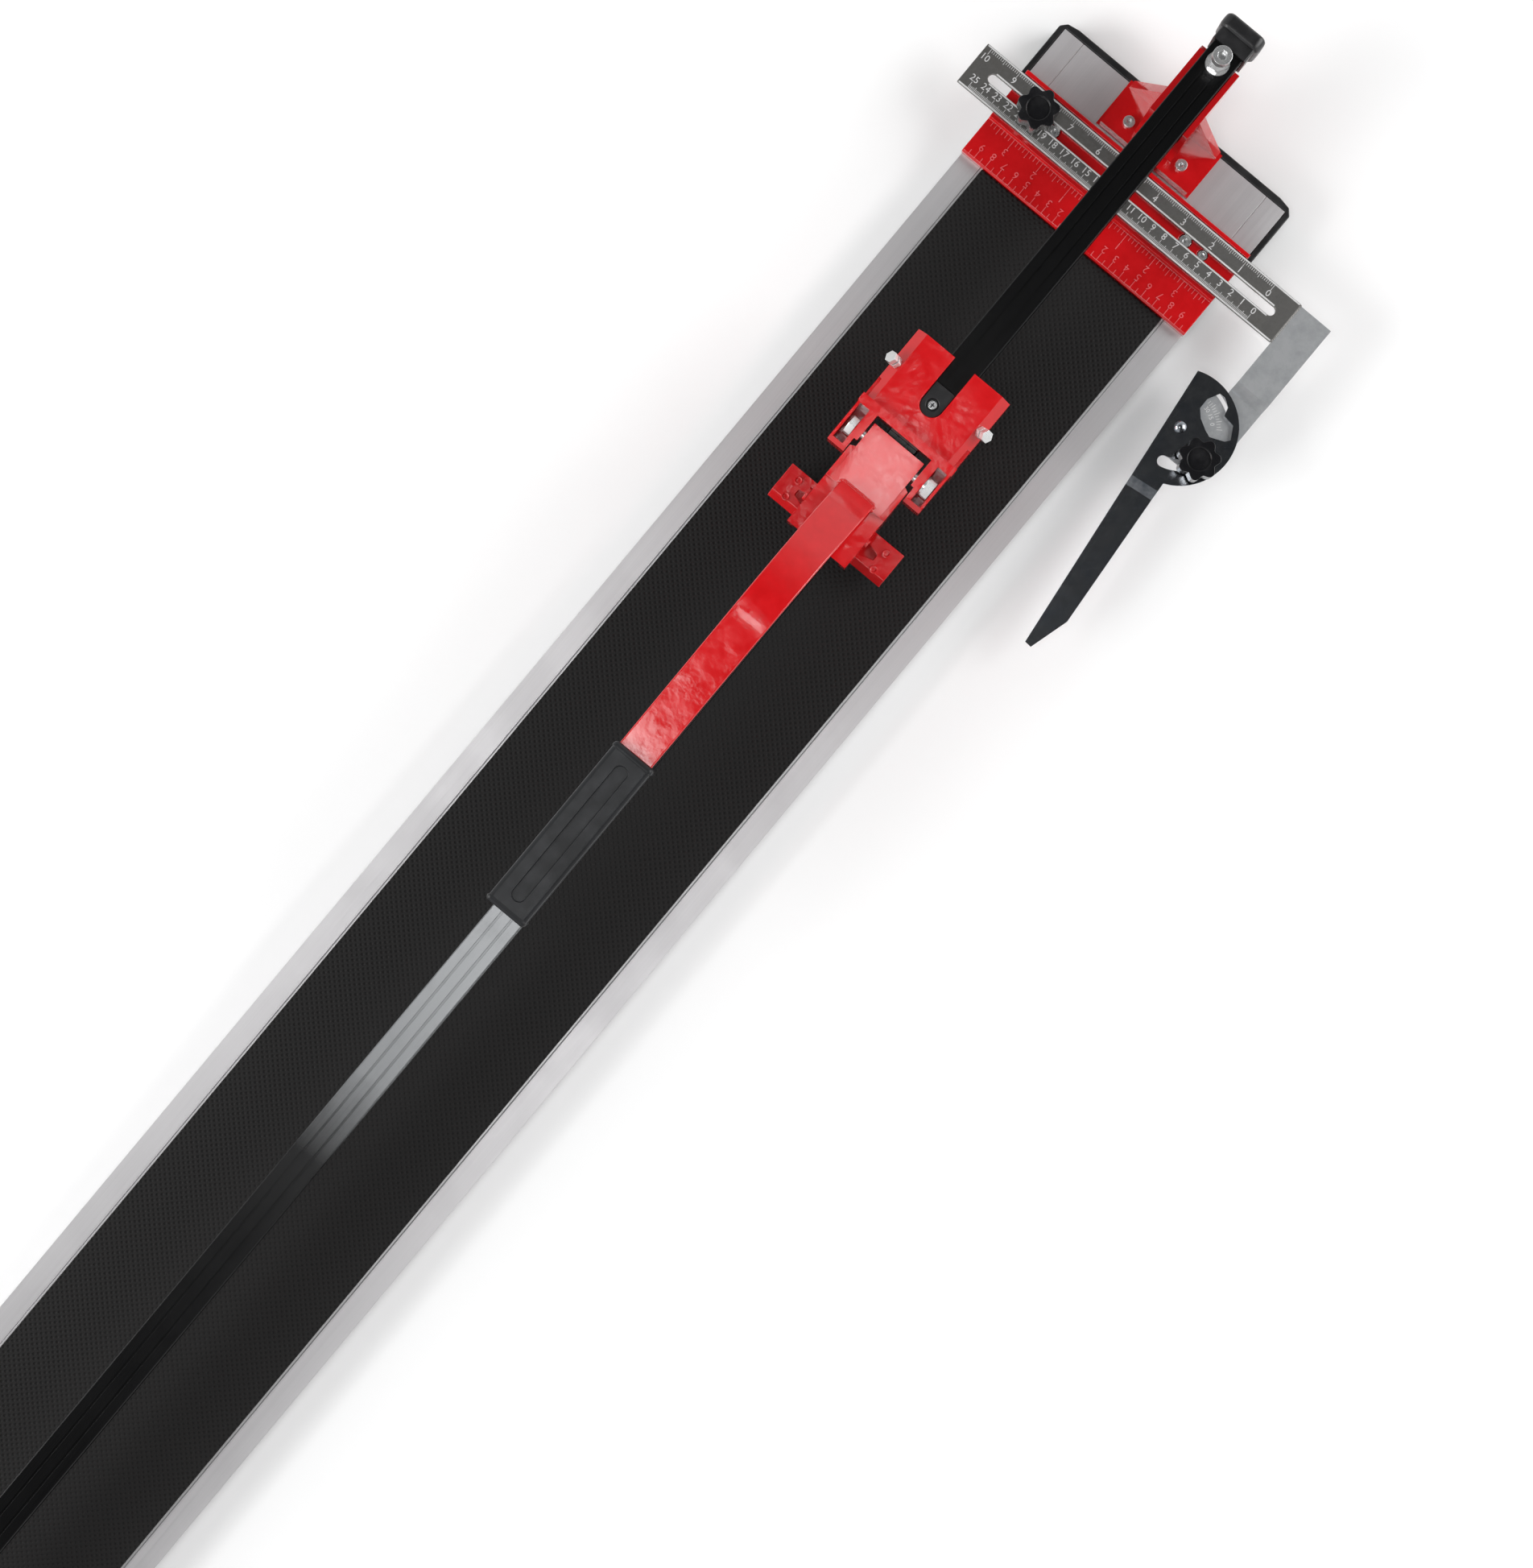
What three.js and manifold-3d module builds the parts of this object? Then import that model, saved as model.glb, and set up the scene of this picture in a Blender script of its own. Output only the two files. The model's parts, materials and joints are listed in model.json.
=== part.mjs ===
// Manual tile cutter: an aluminium bed with rubber pads, a single rail above it, a carriage
// with a scoring wheel and a breaking handle, and a sliding gauge with an angle arm.
// Millimetres, +X along the rail towards the head end, +Y across, +Z up, z = 0 on the bench.
import * as THREE from 'three';
import { mergeVertices } from 'three/addons/utils/BufferGeometryUtils.js';
import Module from 'manifold-3d';

const wasm = await Module();
wasm.setup();

// ---------- driving dimensions ----------
const GAP = 0.3;                 // clearance between pieces that meet face to face
const RUN = 0.1;                 // radial clearance of a shaft in its hole

const BED_LENGTH = 1490;
const RAIL_PAST_BED = 46;
const BED_WIDTH = 198.4;
const BED_HEIGHT = 22;
const BED_WALL = 2.4;
const BED_CHAMBERS = 6;
const FOOT_HEIGHT = 3;
const FOOT_LENGTH = 34;
const FOOT_INSET = 60;           // from the bed's end to the middle of the end feet
const CAP_WALL = 4.6;
const CAP_WING = 43;             // how far a bed cap reaches back along the sides

const PAD_THICKNESS = 4;
const RIDGE_WIDTH = 8;           // breaking ridge between the two pads
const RIDGE_PROUD = 0.8;

const RAIL_WIDTH = 24;
const RAIL_HEIGHT = 28;
const RAIL_CLEAR = 45;           // bed top to rail underside
const RAIL_CHANNEL = 3.7;        // depth of the roller track in each side
const RAIL_TRACK = 14;           // height of the roller track
const RAIL_GROOVE_Y = 4.2;
const RAIL_CAP_WALL = 4;
const RAIL_CAP_LENGTH = 20.6;

const FENCE_WIDTH = 70.9;        // the ruler casting, along the rail
const FENCE_SCALE_HEIGHT = 8;
const FENCE_SEAT_HEIGHT = 11;
const FENCE_LIP_HEIGHT = 14;
const FENCE_LIP = 3.4;

const BRACKET_LENGTH = 38.4;     // foot plate, along the rail
const BRACKET_WIDTH = 82;
const BRACKET_PLATE = 10;
const BRACKET_STEP = 4;
const BRACKET_CHEEK = 4;
const BRACKET_REACH = 35;        // cheeks past the bed's end
const BRACKET_BOLT_Y = 23.4;
const M5_R = 2.5;
const M8_R = 4;
const M8_HEX = 13;

const GAUGE_LENGTH = 281.4;
const GAUGE_WIDTH = 33.8;
const GAUGE_THICKNESS = 3.2;
const GAUGE_SLOT_MARGIN = 14.9;  // bar end to slot end at the inner end
const GAUGE_SLOT_TAIL = 10.6;    // the same at the outer end
const STUD_R = 2.9;
const KNOB_R = 15;
const KNOB_HEAD = 16;
const KNOB_HUB_R = 8;
const KNOB_HUB = 6;
const KNOB_LOBES = 7;

const PLATE = 2.5;               // sheet of the offset plate and the angle arm
const TAB_LENGTH = 67.3;
const TAB_WIDTH = 27;
const PIVOT_FROM_TAB = 49.3;     // tab's inner end to the arm's rivet
const ARM_HEAD_R = 40;
const ARM_REACH = 183.4;         // rivet to tip
const ARM_REST_DEG = 7.3;
const ARM_SLOT_R = 26.5;
const ARM_STUD_DEG = 242.7;
const ARM_TURN_DEG = 45;

const CARRIAGE_X = 480;          // middle of the carriage body at rest
const CARRIAGE_LENGTH = 58;
const CARRIAGE_WALL = 9.6;
const ROOF = 10;                 // carriage roof over the rail
const ROLLER_R = 6.5;
const ROLLER_HEIGHT = 5;
const ROLLER_SPREAD = 18.5;      // roller axle from the carriage's middle, along the rail
const AXLE_R = 2;
const WHEEL_R = 11;
const WHEEL_X = CARRIAGE_X - 9;

const HANDLE_PIVOT_X = 430.1;
const HANDLE_PIVOT_RISE = 7.5;   // pivot above the rail's top
const FORK_LENGTH = 86.8;
const FORK_WIDTH = 50;
const FORK_CHEEK = 5;
const FORK_NOSE = 10.3;          // nose ahead of the pivot
const BAR_WIDTH_ROOT = 28.4;
const BAR_WIDTH_TIP = 26;
const BAR_THICKNESS = 12;
const GRIP_START_X = 170;
const GRIP_LENGTH = 133;
const GRIP_WIDTH = 31;
const GRIP_HEIGHT = 24;
const SHOE_WIDTH = 99.4;
const SHOE_LENGTH = 27.2;
const SHOE_HEIGHT = 15;
const SHOE_PIN_X = 376.3;
const PIN_R = 3;
const SHOE_BOSS_R = 5.2;

// ---------- sizes that follow ----------
const BED_X = BED_LENGTH / 2;
const DECK = FOOT_HEIGHT + BED_HEIGHT;
const PAD_TOP = DECK + PAD_THICKNESS;
const RAIL_Z = DECK + RAIL_CLEAR;
const RAIL_TOP = RAIL_Z + RAIL_HEIGHT;
const RAIL_X = BED_X + RAIL_PAST_BED;
const PAD_OUTER_Y = BED_WIDTH / 2 - 18.2;
const FENCE_LENGTH = BED_WIDTH + 1.6;
const STUD_Y = FENCE_LENGTH / 2 - 24.1;
const GAUGE_END_Y = FENCE_LENGTH / 2 + 32.5;   // inner end of the bar at rest
const GAUGE_SLOT = 2 * STUD_R + 1;
const ARM_SLOT_WIDTH = 2 * STUD_R + 2.2;
const CARRIAGE_WIDTH = FORK_WIDTH + 29.2;
const FORK_NOSE_WIDTH = FORK_WIDTH - 7.4;
const WHEEL_Z = PAD_TOP + RIDGE_PROUD + 6.2 + WHEEL_R;
const SHOE_Z = PAD_TOP + 12;
const FENCE_X1 = BED_X - BRACKET_LENGTH - 2.9;
const FENCE_X0 = FENCE_X1 - FENCE_WIDTH;
const SEAT_Z = DECK + FENCE_SEAT_HEIGHT;
const GAUGE_X = FENCE_X1 - FENCE_LIP - GAUGE_WIDTH / 2 - 0.4;
const GAUGE_Z = SEAT_Z + RUN;
const PLATE_Z = PAD_TOP + 0.4;
const ARM_Z = PLATE_Z + PLATE + GAP;
const TAB_Y = GAUGE_END_Y - GAUGE_LENGTH - GAP - TAB_WIDTH / 2;
const TAB_X1 = GAUGE_X + GAUGE_WIDTH / 2 - 1;
const RIVET_X = TAB_X1 - TAB_LENGTH - PIVOT_FROM_TAB;
const RIVET_Y = TAB_Y + 24.1;
const SCREW_X = BED_X + 29.4;    // height screw at a rail end
const BRACKET_X1 = BED_X + 1.2;
const BRACKET_X0 = BRACKET_X1 - BRACKET_LENGTH;
const PLATE_X0 = BRACKET_X0 + 1.6;
const BRACKET_BOLT_X = BED_X - 24.1;
const CHEEK_Y = RAIL_WIDTH / 2 + GAP + 0.1;
const CAVITY_Y = CARRIAGE_WIDTH / 2 - CARRIAGE_WALL;
const CARRIAGE_TOP = RAIL_TOP + 1.3 + ROOF;
const PIVOT_Z = RAIL_TOP + HANDLE_PIVOT_RISE;
const FORK_TOP = PIVOT_Z + 9.5;
const BAR_TOP_Z = PIVOT_Z + 59.5;              // centre line of the bar along the grip
const FORK_X0 = HANDLE_PIVOT_X + FORK_NOSE - FORK_LENGTH;
const ROLLER_Y = RAIL_WIDTH / 2 - RAIL_CHANNEL + ROLLER_R + RUN;
const ROLLER_Z = RAIL_Z + RAIL_HEIGHT / 2;
const SHOE_PIN_Z = RAIL_TOP + 6.3;

// ---------- finishes ----------
function finish(color, roughness, metalness) {
  return new THREE.MeshStandardMaterial({ color, roughness, metalness });
}
const RED = finish(0xc8191c, 0.3, 0.1);
const ALUMINIUM = finish(0xa8a6a8, 0.4, 0.9);
const BLACK_METAL = finish(0x101010, 0.35, 0.6);
const RUBBER = finish(0x211f1f, 0.9, 0);
const PLASTIC = finish(0x1b1b1c, 0.5, 0);
const STEEL = finish(0xb5b6b8, 0.25, 1);

// ---------- shape helpers ----------
function toSolid(geometry) {
  geometry.deleteAttribute('normal');
  geometry.deleteAttribute('uv');
  const merged = mergeVertices(geometry, 1e-5);
  return new wasm.Manifold(new wasm.Mesh({
    numProp: 3,
    vertProperties: Float32Array.from(merged.attributes.position.array),
    triVerts: Uint32Array.from(merged.index.array),
  }));
}

function toGeometry(solid) {
  const mesh = solid.getMesh();
  const geometry = new THREE.BufferGeometry();
  geometry.setAttribute('position', new THREE.BufferAttribute(mesh.vertProperties, 3));
  geometry.setIndex(new THREE.BufferAttribute(mesh.triVerts, 1));
  geometry.computeVertexNormals();
  return geometry;
}

function join(first, ...others) {
  return others.reduce((whole, other) => whole.add(other), first);
}

function cut(first, ...others) {
  return others.reduce((whole, other) => whole.subtract(other), first);
}

function box(x0, x1, y0, y1, z0, z1) {
  const geometry = new THREE.BoxGeometry(x1 - x0, y1 - y0, z1 - z0);
  geometry.translate((x0 + x1) / 2, (y0 + y1) / 2, (z0 + z1) / 2);
  return toSolid(geometry);
}

// A round bar along Z, X or Y, between two places on its axis.
function rodZ(x, y, r, z0, z1, sides = 20) {
  const geometry = new THREE.CylinderGeometry(r, r, z1 - z0, sides);
  geometry.rotateX(Math.PI / 2);
  geometry.translate(x, y, (z0 + z1) / 2);
  return toSolid(geometry);
}

function rodY(x, z, r, y0, y1, sides = 20) {
  const geometry = new THREE.CylinderGeometry(r, r, y1 - y0, sides);
  geometry.translate(x, (y0 + y1) / 2, z);
  return toSolid(geometry);
}

function outline(points) {
  return new THREE.Shape(points.map(([u, v]) => new THREE.Vector2(u, v)));
}

// Extrusions of an outline: [x, y] up along Z, [y, z] along X, and [x, z] along Y.
function prismZ(shape, z0, z1, curveSegments = 12) {
  const geometry = new THREE.ExtrudeGeometry(shape, { depth: z1 - z0, bevelEnabled: false, curveSegments });
  geometry.translate(0, 0, z0);
  return toSolid(geometry);
}

function prismX(shape, x0, x1, curveSegments = 12) {
  const geometry = new THREE.ExtrudeGeometry(shape, { depth: x1 - x0, bevelEnabled: false, curveSegments });
  const turn = new THREE.Matrix4().makeBasis(
    new THREE.Vector3(0, 1, 0), new THREE.Vector3(0, 0, 1), new THREE.Vector3(1, 0, 0));
  geometry.applyMatrix4(turn);
  geometry.translate(x0, 0, 0);
  return toSolid(geometry);
}

function prismY(shape, y0, y1, curveSegments = 12) {
  const geometry = new THREE.ExtrudeGeometry(shape, { depth: y1 - y0, bevelEnabled: false, curveSegments });
  const turn = new THREE.Matrix4().makeBasis(
    new THREE.Vector3(1, 0, 0), new THREE.Vector3(0, 0, 1), new THREE.Vector3(0, -1, 0));
  geometry.applyMatrix4(turn);
  geometry.translate(0, y1, 0);
  return toSolid(geometry);
}

function roundedOutline(width, height, radius, centreU = 0, centreV = 0) {
  const shape = new THREE.Shape();
  const u = width / 2;
  const v = height / 2;
  shape.moveTo(centreU - u + radius, centreV - v);
  shape.lineTo(centreU + u - radius, centreV - v);
  shape.absarc(centreU + u - radius, centreV - v + radius, radius, -Math.PI / 2, 0, false);
  shape.absarc(centreU + u - radius, centreV + v - radius, radius, 0, Math.PI / 2, false);
  shape.absarc(centreU - u + radius, centreV + v - radius, radius, Math.PI / 2, Math.PI, false);
  shape.absarc(centreU - u + radius, centreV - v + radius, radius, Math.PI, 1.5 * Math.PI, false);
  return shape;
}

// A slot with round ends, its middle line from (x, y0) to (x, y1).
function slotSolid(x, y0, y1, width, z0, z1) {
  const shape = new THREE.Shape();
  const r = width / 2;
  shape.absarc(x, y1 - r, r, 0, Math.PI, false);
  shape.absarc(x, y0 + r, r, Math.PI, 2 * Math.PI, false);
  return prismZ(shape, z0, z1, 8);
}

// A slot that follows a circle about a centre, between two angles.
function arcSlot(x, y, radius, width, fromDeg, toDeg, z0, z1) {
  const from = THREE.MathUtils.degToRad(fromDeg);
  const to = THREE.MathUtils.degToRad(toDeg);
  const r = width / 2;
  const shape = new THREE.Shape();
  const endX = x + radius * Math.cos(to);
  const endY = y + radius * Math.sin(to);
  const startX = x + radius * Math.cos(from);
  const startY = y + radius * Math.sin(from);
  shape.absarc(x, y, radius + r, from, to, false);
  shape.absarc(endX, endY, r, to, to + Math.PI, false);
  shape.absarc(x, y, radius - r, to, from, true);
  shape.absarc(startX, startY, r, from + Math.PI, from + 2 * Math.PI, false);
  return prismZ(shape, z0, z1, 10);
}

function hexZ(x, y, acrossFlats, z0, z1) {
  return rodZ(x, y, acrossFlats / Math.sqrt(3), z0, z1, 6);
}

function piece(name, solid, material) {
  const mesh = new THREE.Mesh(toGeometry(solid), material);
  mesh.name = name;
  return mesh;
}

// The same piece turned half round about Z, for the tail end.
function turned(mesh, name) {
  const copy = new THREE.Mesh(mesh.geometry, mesh.material);
  copy.name = name;
  copy.rotation.z = Math.PI;
  return copy;
}

// ---------- bed ----------
function makeBed() {
  const half = BED_WIDTH / 2;
  const grooveY = PAD_OUTER_Y + 1.6;
  const section = outline([
    [-half, FOOT_HEIGHT], [half, FOOT_HEIGHT], [half, DECK],
    [grooveY + 0.5, DECK], [grooveY, DECK - 0.8], [grooveY - 0.5, DECK],
    [-grooveY + 0.5, DECK], [-grooveY, DECK - 0.8], [-grooveY - 0.5, DECK], [-half, DECK],
  ]);
  const pitch = (BED_WIDTH - BED_WALL) / BED_CHAMBERS;
  const holes = [];
  for (let i = 0; i < BED_CHAMBERS; i += 1) {
    const y0 = -half + BED_WALL + i * pitch;
    const y1 = y0 + pitch - BED_WALL;
    holes.push(box(-BED_X - 1, BED_X + 1, y0, y1, FOOT_HEIGHT + BED_WALL, DECK - BED_WALL));
  }
  for (const side of [-1, 1]) {
    for (const y of [-BRACKET_BOLT_Y, BRACKET_BOLT_Y]) {
      holes.push(rodZ(side * BRACKET_BOLT_X, y, M5_R + RUN, DECK - BED_WALL - 4, DECK + 1, 16));
    }
  }
  for (const { y } of fenceScrews()) {
    holes.push(rodZ(GAUGE_X, y, M5_R + RUN, DECK - BED_WALL - 4, DECK + 1, 16));
  }
  return piece('bed_extrusion', cut(prismX(section, -BED_X, BED_X), ...holes), ALUMINIUM);
}

function makeBedCap() {
  const outer = BED_WIDTH / 2 + CAP_WALL;
  const inner = BED_WIDTH / 2 + GAP;
  const x1 = BED_X + CAP_WALL + 1;
  const x0 = BED_X - CAP_WING;
  const shape = outline([
    [x0, inner], [BED_X + GAP, inner], [BED_X + GAP, -inner], [x0, -inner],
    [x0, -outer], [x1 - 6, -outer], [x1 - 1.6, -outer + 4], [x1, -outer + 13],
    [x1, outer - 13], [x1 - 1.6, outer - 4], [x1 - 6, outer], [x0, outer],
  ]);
  return piece('bed_cap_head', prismZ(shape, FOOT_HEIGHT, DECK), PLASTIC);
}

function makeFoot(name, x) {
  const half = BED_WIDTH / 2 - 10;
  return piece(name, box(x - FOOT_LENGTH / 2, x + FOOT_LENGTH / 2, -half, half, 0, FOOT_HEIGHT), RUBBER);
}

const PAD_X1 = FENCE_X0 - GAP;
const PAD_X0 = -FENCE_X1 + 0.7;

function makePad(name, side) {
  const inner = RIDGE_WIDTH / 2 + GAP;
  const ys = [side * inner, side * PAD_OUTER_Y].sort((a, b) => a - b);
  return piece(name, box(PAD_X0, PAD_X1, ys[0], ys[1], DECK, PAD_TOP), RUBBER);
}

function makeRidge() {
  const w = RIDGE_WIDTH / 2;
  const top = PAD_TOP + RIDGE_PROUD;
  const shape = outline([[-w, DECK], [w, DECK], [w, PAD_TOP - 1], [1, top], [-1, top], [-w, PAD_TOP - 1]]);
  return piece('breaking_ridge', prismX(shape, PAD_X0, PAD_X1), STEEL);
}

// ---------- rail ----------
function railSection(clearance = 0) {
  const w = RAIL_WIDTH / 2 + clearance;
  const web = w - RAIL_CHANNEL;
  const z0 = RAIL_Z - clearance;
  const z1 = RAIL_TOP + clearance;
  const t0 = RAIL_Z + (RAIL_HEIGHT - RAIL_TRACK) / 2;
  const t1 = t0 + RAIL_TRACK;
  return outline([
    [-w + 1, z0], [w - 1, z0], [w, z0 + 1], [w, t0], [web, t0], [web, t1], [w, t1],
    [w, z1 - 0.6], [w - 0.6, z1],
    [RAIL_GROOVE_Y + 0.8, z1], [RAIL_GROOVE_Y + 0.8, z1 - 1.2], [RAIL_GROOVE_Y - 0.8, z1 - 1.2],
    [RAIL_GROOVE_Y - 0.8, z1], [-RAIL_GROOVE_Y + 0.8, z1], [-RAIL_GROOVE_Y + 0.8, z1 - 1.2],
    [-RAIL_GROOVE_Y - 0.8, z1 - 1.2], [-RAIL_GROOVE_Y - 0.8, z1], [-w + 0.6, z1], [-w, z1 - 0.6],
    [-w, t1], [-web, t1], [-web, t0], [-w, t0], [-w, z0 + 1],
  ]);
}

function makeRail() {
  const rail = prismX(railSection(), -RAIL_X, RAIL_X);
  const holes = [-1, 1].map((side) => rodZ(side * SCREW_X, 0, M8_R + GAP, RAIL_Z - 1, RAIL_TOP + 1));
  return piece('rail', cut(rail, ...holes), BLACK_METAL);
}

// A plug with a narrow neck on the rail and a wider, bevelled head.
function makeRailCap() {
  const x1 = RAIL_X + RAIL_CAP_LENGTH - 4.2;
  const x0 = x1 - RAIL_CAP_LENGTH;
  const headLength = 11.4;
  const bevel = 3.2;
  const headWidth = RAIL_WIDTH + 2 * RAIL_CAP_WALL + 0.8;
  const headHeight = RAIL_HEIGHT + 2 * RAIL_CAP_WALL;
  const middle = RAIL_Z + RAIL_HEIGHT / 2;
  const neck = prismX(roundedOutline(RAIL_WIDTH + 3.6, RAIL_HEIGHT + 3.6, 1.5, 0, middle), x0, x1 - 5, 4);
  const face = roundedOutline(headWidth - 2 * bevel, headHeight - 2 * bevel, 3, 0, middle);
  const geometry = new THREE.ExtrudeGeometry(face, {
    depth: headLength - 2 * bevel,
    bevelEnabled: true,
    bevelThickness: bevel,
    bevelSize: bevel,
    bevelSegments: 3,
    curveSegments: 4,
  });
  geometry.applyMatrix4(new THREE.Matrix4().makeBasis(
    new THREE.Vector3(0, 1, 0), new THREE.Vector3(0, 0, 1), new THREE.Vector3(1, 0, 0)));
  geometry.translate(x1 - headLength + bevel, 0, 0);
  const socketY = RAIL_WIDTH / 2 + GAP;
  const socket = box(x0 - 1, RAIL_X + GAP, -socketY, socketY, RAIL_Z - GAP, RAIL_TOP + GAP);
  return piece('rail_cap_head', cut(join(neck, toSolid(geometry)), socket), PLASTIC);
}

// ---------- rail bracket ----------
function makeBracket() {
  const half = BRACKET_WIDTH / 2;
  const x1 = BRACKET_X1;
  const reach = BRACKET_X1 + BRACKET_REACH;
  const cheekOuter = CHEEK_Y + BRACKET_CHEEK;
  const plateTop = DECK + BRACKET_PLATE;
  const cheekTop = RAIL_TOP - 10;
  const lower = box(BRACKET_X0, x1, -half, half, DECK, DECK + BRACKET_STEP);
  const upper = box(PLATE_X0, x1 - 0.6, -half + 2.2, half - 2.2, DECK, plateTop);
  const side = outline([
    [PLATE_X0 + 8, DECK + 2], [x1 - 0.6, DECK + 2], [x1 + 2, DECK + 14], [reach, DECK + 33],
    [reach, cheekTop - 3], [reach - 3, cheekTop], [PLATE_X0 + 16, cheekTop],
  ]);
  const body = prismY(side, -cheekOuter, cheekOuter);
  const trough = box(PLATE_X0 - 5, reach + 5, -CHEEK_Y, CHEEK_Y, RAIL_Z - RUN, RAIL_TOP + 10);
  const relief = box(PLATE_X0 + 24, x1 - 6, -cheekOuter + 4, cheekOuter - 4, DECK - 1, RAIL_Z - 8);
  const gussets = [-1, 1].map((s) => prismX(outline([
    [s * (half - 2.4), DECK + 3], [s * (half - 2.4), plateTop + 1], [s * (cheekOuter - 0.5), cheekTop - 4],
    [s * (cheekOuter - 0.5), DECK + 3],
  ]), x1 - 6.4, x1 - 0.6));
  const boltYs = [-BRACKET_BOLT_Y, BRACKET_BOLT_Y];
  const holes = boltYs.map((y) => rodZ(BRACKET_BOLT_X, y, M5_R + RUN, DECK - 1, plateTop + 1));
  holes.push(rodZ(SCREW_X, 0, M8_R + RUN, DECK, RAIL_Z + 1));
  return piece('rail_bracket_head', cut(join(lower, upper, body, ...gussets), trough, relief, ...holes), RED);
}

function makeBracketBolt(name, y) {
  const top = DECK + BRACKET_PLATE;
  const head = cut(rodZ(BRACKET_BOLT_X, y, 4.25, top, top + 4), hexZ(BRACKET_BOLT_X, y, 3, top + 1.6, top + 5));
  const shank = rodZ(BRACKET_BOLT_X, y, M5_R, DECK - BED_WALL - 3, top + 0.5, 16);
  return piece(name, join(shank, head), STEEL);
}

function makeHeightNut() {
  const flange = rodZ(SCREW_X, 0, 8.3, RAIL_TOP, RAIL_TOP + 1.8, 28);
  const hex = hexZ(SCREW_X, 0, M8_HEX, RAIL_TOP + 1, RAIL_TOP + 8.5);
  const bore = rodZ(SCREW_X, 0, M8_R + RUN, RAIL_TOP - 1, RAIL_TOP + 10);
  return piece('height_nut_head', cut(join(flange, hex), bore), STEEL);
}

function makeHeightScrew() {
  const z0 = RAIL_Z - 10;
  const headZ = RAIL_TOP + 18;
  const shank = rodZ(SCREW_X, 0, M8_R, z0, headZ + 1);
  const head = cut(rodZ(SCREW_X, 0, 6.65, headZ, headZ + 8, 28), hexZ(SCREW_X, 0, 6, headZ + 3.5, headZ + 9));
  return piece('height_screw_head', join(shank, head), STEEL);
}

// ---------- ruler casting and gauge ----------
// Two cap screws hold the casting down, and a smaller set screw steadies the bar.
function fenceScrews() {
  const half = FENCE_LENGTH / 2;
  return [
    { y: 41 - half, headR: 4.4 },
    { y: half - 40.7, headR: 4.4 },
    { y: 25.5 - half, headR: 3.4 },
  ];
}

function makeFence() {
  const scaleZ = DECK + FENCE_SCALE_HEIGHT;
  const lipX = FENCE_X1 - FENCE_LIP;
  const seatX = GAUGE_X - GAUGE_WIDTH / 2 - 3.2;
  const section = outline([
    [FENCE_X0, DECK], [FENCE_X1, DECK], [FENCE_X1, DECK + FENCE_LIP_HEIGHT], [lipX, DECK + FENCE_LIP_HEIGHT],
    [lipX, SEAT_Z], [seatX, SEAT_Z], [seatX - 0.8, scaleZ], [FENCE_X0 + 1.2, scaleZ], [FENCE_X0, scaleZ - 1.2],
  ]);
  const casting = prismY(section, -FENCE_LENGTH / 2, FENCE_LENGTH / 2);
  const holes = fenceScrews().map(({ y, headR }) => join(
    rodZ(GAUGE_X, y, M5_R + RUN, DECK - 1, SEAT_Z + 1, 16),
    rodZ(GAUGE_X, y, headR + 0.6, SEAT_Z - 4.2, SEAT_Z + 1)));
  holes.push(rodZ(GAUGE_X, STUD_Y, STUD_R + RUN, DECK + 3, SEAT_Z + 1));
  return piece('ruler_casting', cut(casting, ...holes), RED);
}

function makeFenceScrew(index, { y, headR }) {
  const seat = SEAT_Z - 4.2;
  const head = cut(rodZ(GAUGE_X, y, headR, seat, seat + 3.6), hexZ(GAUGE_X, y, 3, seat + 1.6, seat + 5));
  const shank = rodZ(GAUGE_X, y, M5_R, DECK - BED_WALL - 3, seat + 0.5, 16);
  return piece(`ruler_screw_${index + 1}`, join(shank, head), STEEL);
}

function makeStud(name, x, y, z0, z1) {
  return piece(name, rodZ(x, y, STUD_R, z0, z1), STEEL);
}

// A lobed clamp knob with a dished top, on its hub, its axis at the given place.
function makeKnob(name, x, y, z0) {
  const shape = new THREE.Shape();
  const steps = KNOB_LOBES * 10;
  for (let i = 0; i < steps; i += 1) {
    const angle = (2 * Math.PI * i) / steps;
    const dip = Math.sin((KNOB_LOBES * angle) / 2) ** 2;
    const r = KNOB_R - 3.2 * dip ** 1.3;
    const point = [r * Math.cos(angle), r * Math.sin(angle)];
    if (i === 0) shape.moveTo(...point);
    else shape.lineTo(...point);
  }
  const headZ = z0 + KNOB_HUB;
  const head = prismZ(shape, headZ, headZ + KNOB_HEAD);
  const hub = rodZ(0, 0, KNOB_HUB_R, z0, headZ + 1, 24);
  const bore = rodZ(0, 0, STUD_R + RUN, z0 - 1, z0 + KNOB_HUB + KNOB_HEAD - 6);
  const dish = rodZ(0, 0, KNOB_R * 0.55, headZ + KNOB_HEAD - 1.6, headZ + KNOB_HEAD + 1, 24);
  const mesh = piece(name, cut(join(head, hub), bore, dish), PLASTIC);
  mesh.position.set(x, y, 0);
  return mesh;
}

function makeGaugeBar() {
  const half = GAUGE_WIDTH / 2;
  const y0 = GAUGE_END_Y - GAUGE_LENGTH;
  const bar = box(GAUGE_X - half, GAUGE_X + half, y0, GAUGE_END_Y, GAUGE_Z, GAUGE_Z + GAUGE_THICKNESS);
  const slot = slotSolid(GAUGE_X, y0 + GAUGE_SLOT_TAIL, GAUGE_END_Y - GAUGE_SLOT_MARGIN, GAUGE_SLOT,
    GAUGE_Z - 1, GAUGE_Z + GAUGE_THICKNESS + 1);
  return piece('gauge_bar', cut(bar, slot), STEEL);
}

function armStudPlace() {
  const angle = THREE.MathUtils.degToRad(ARM_STUD_DEG);
  return [RIVET_X + ARM_SLOT_R * Math.cos(angle), RIVET_Y + ARM_SLOT_R * Math.sin(angle)];
}

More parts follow.
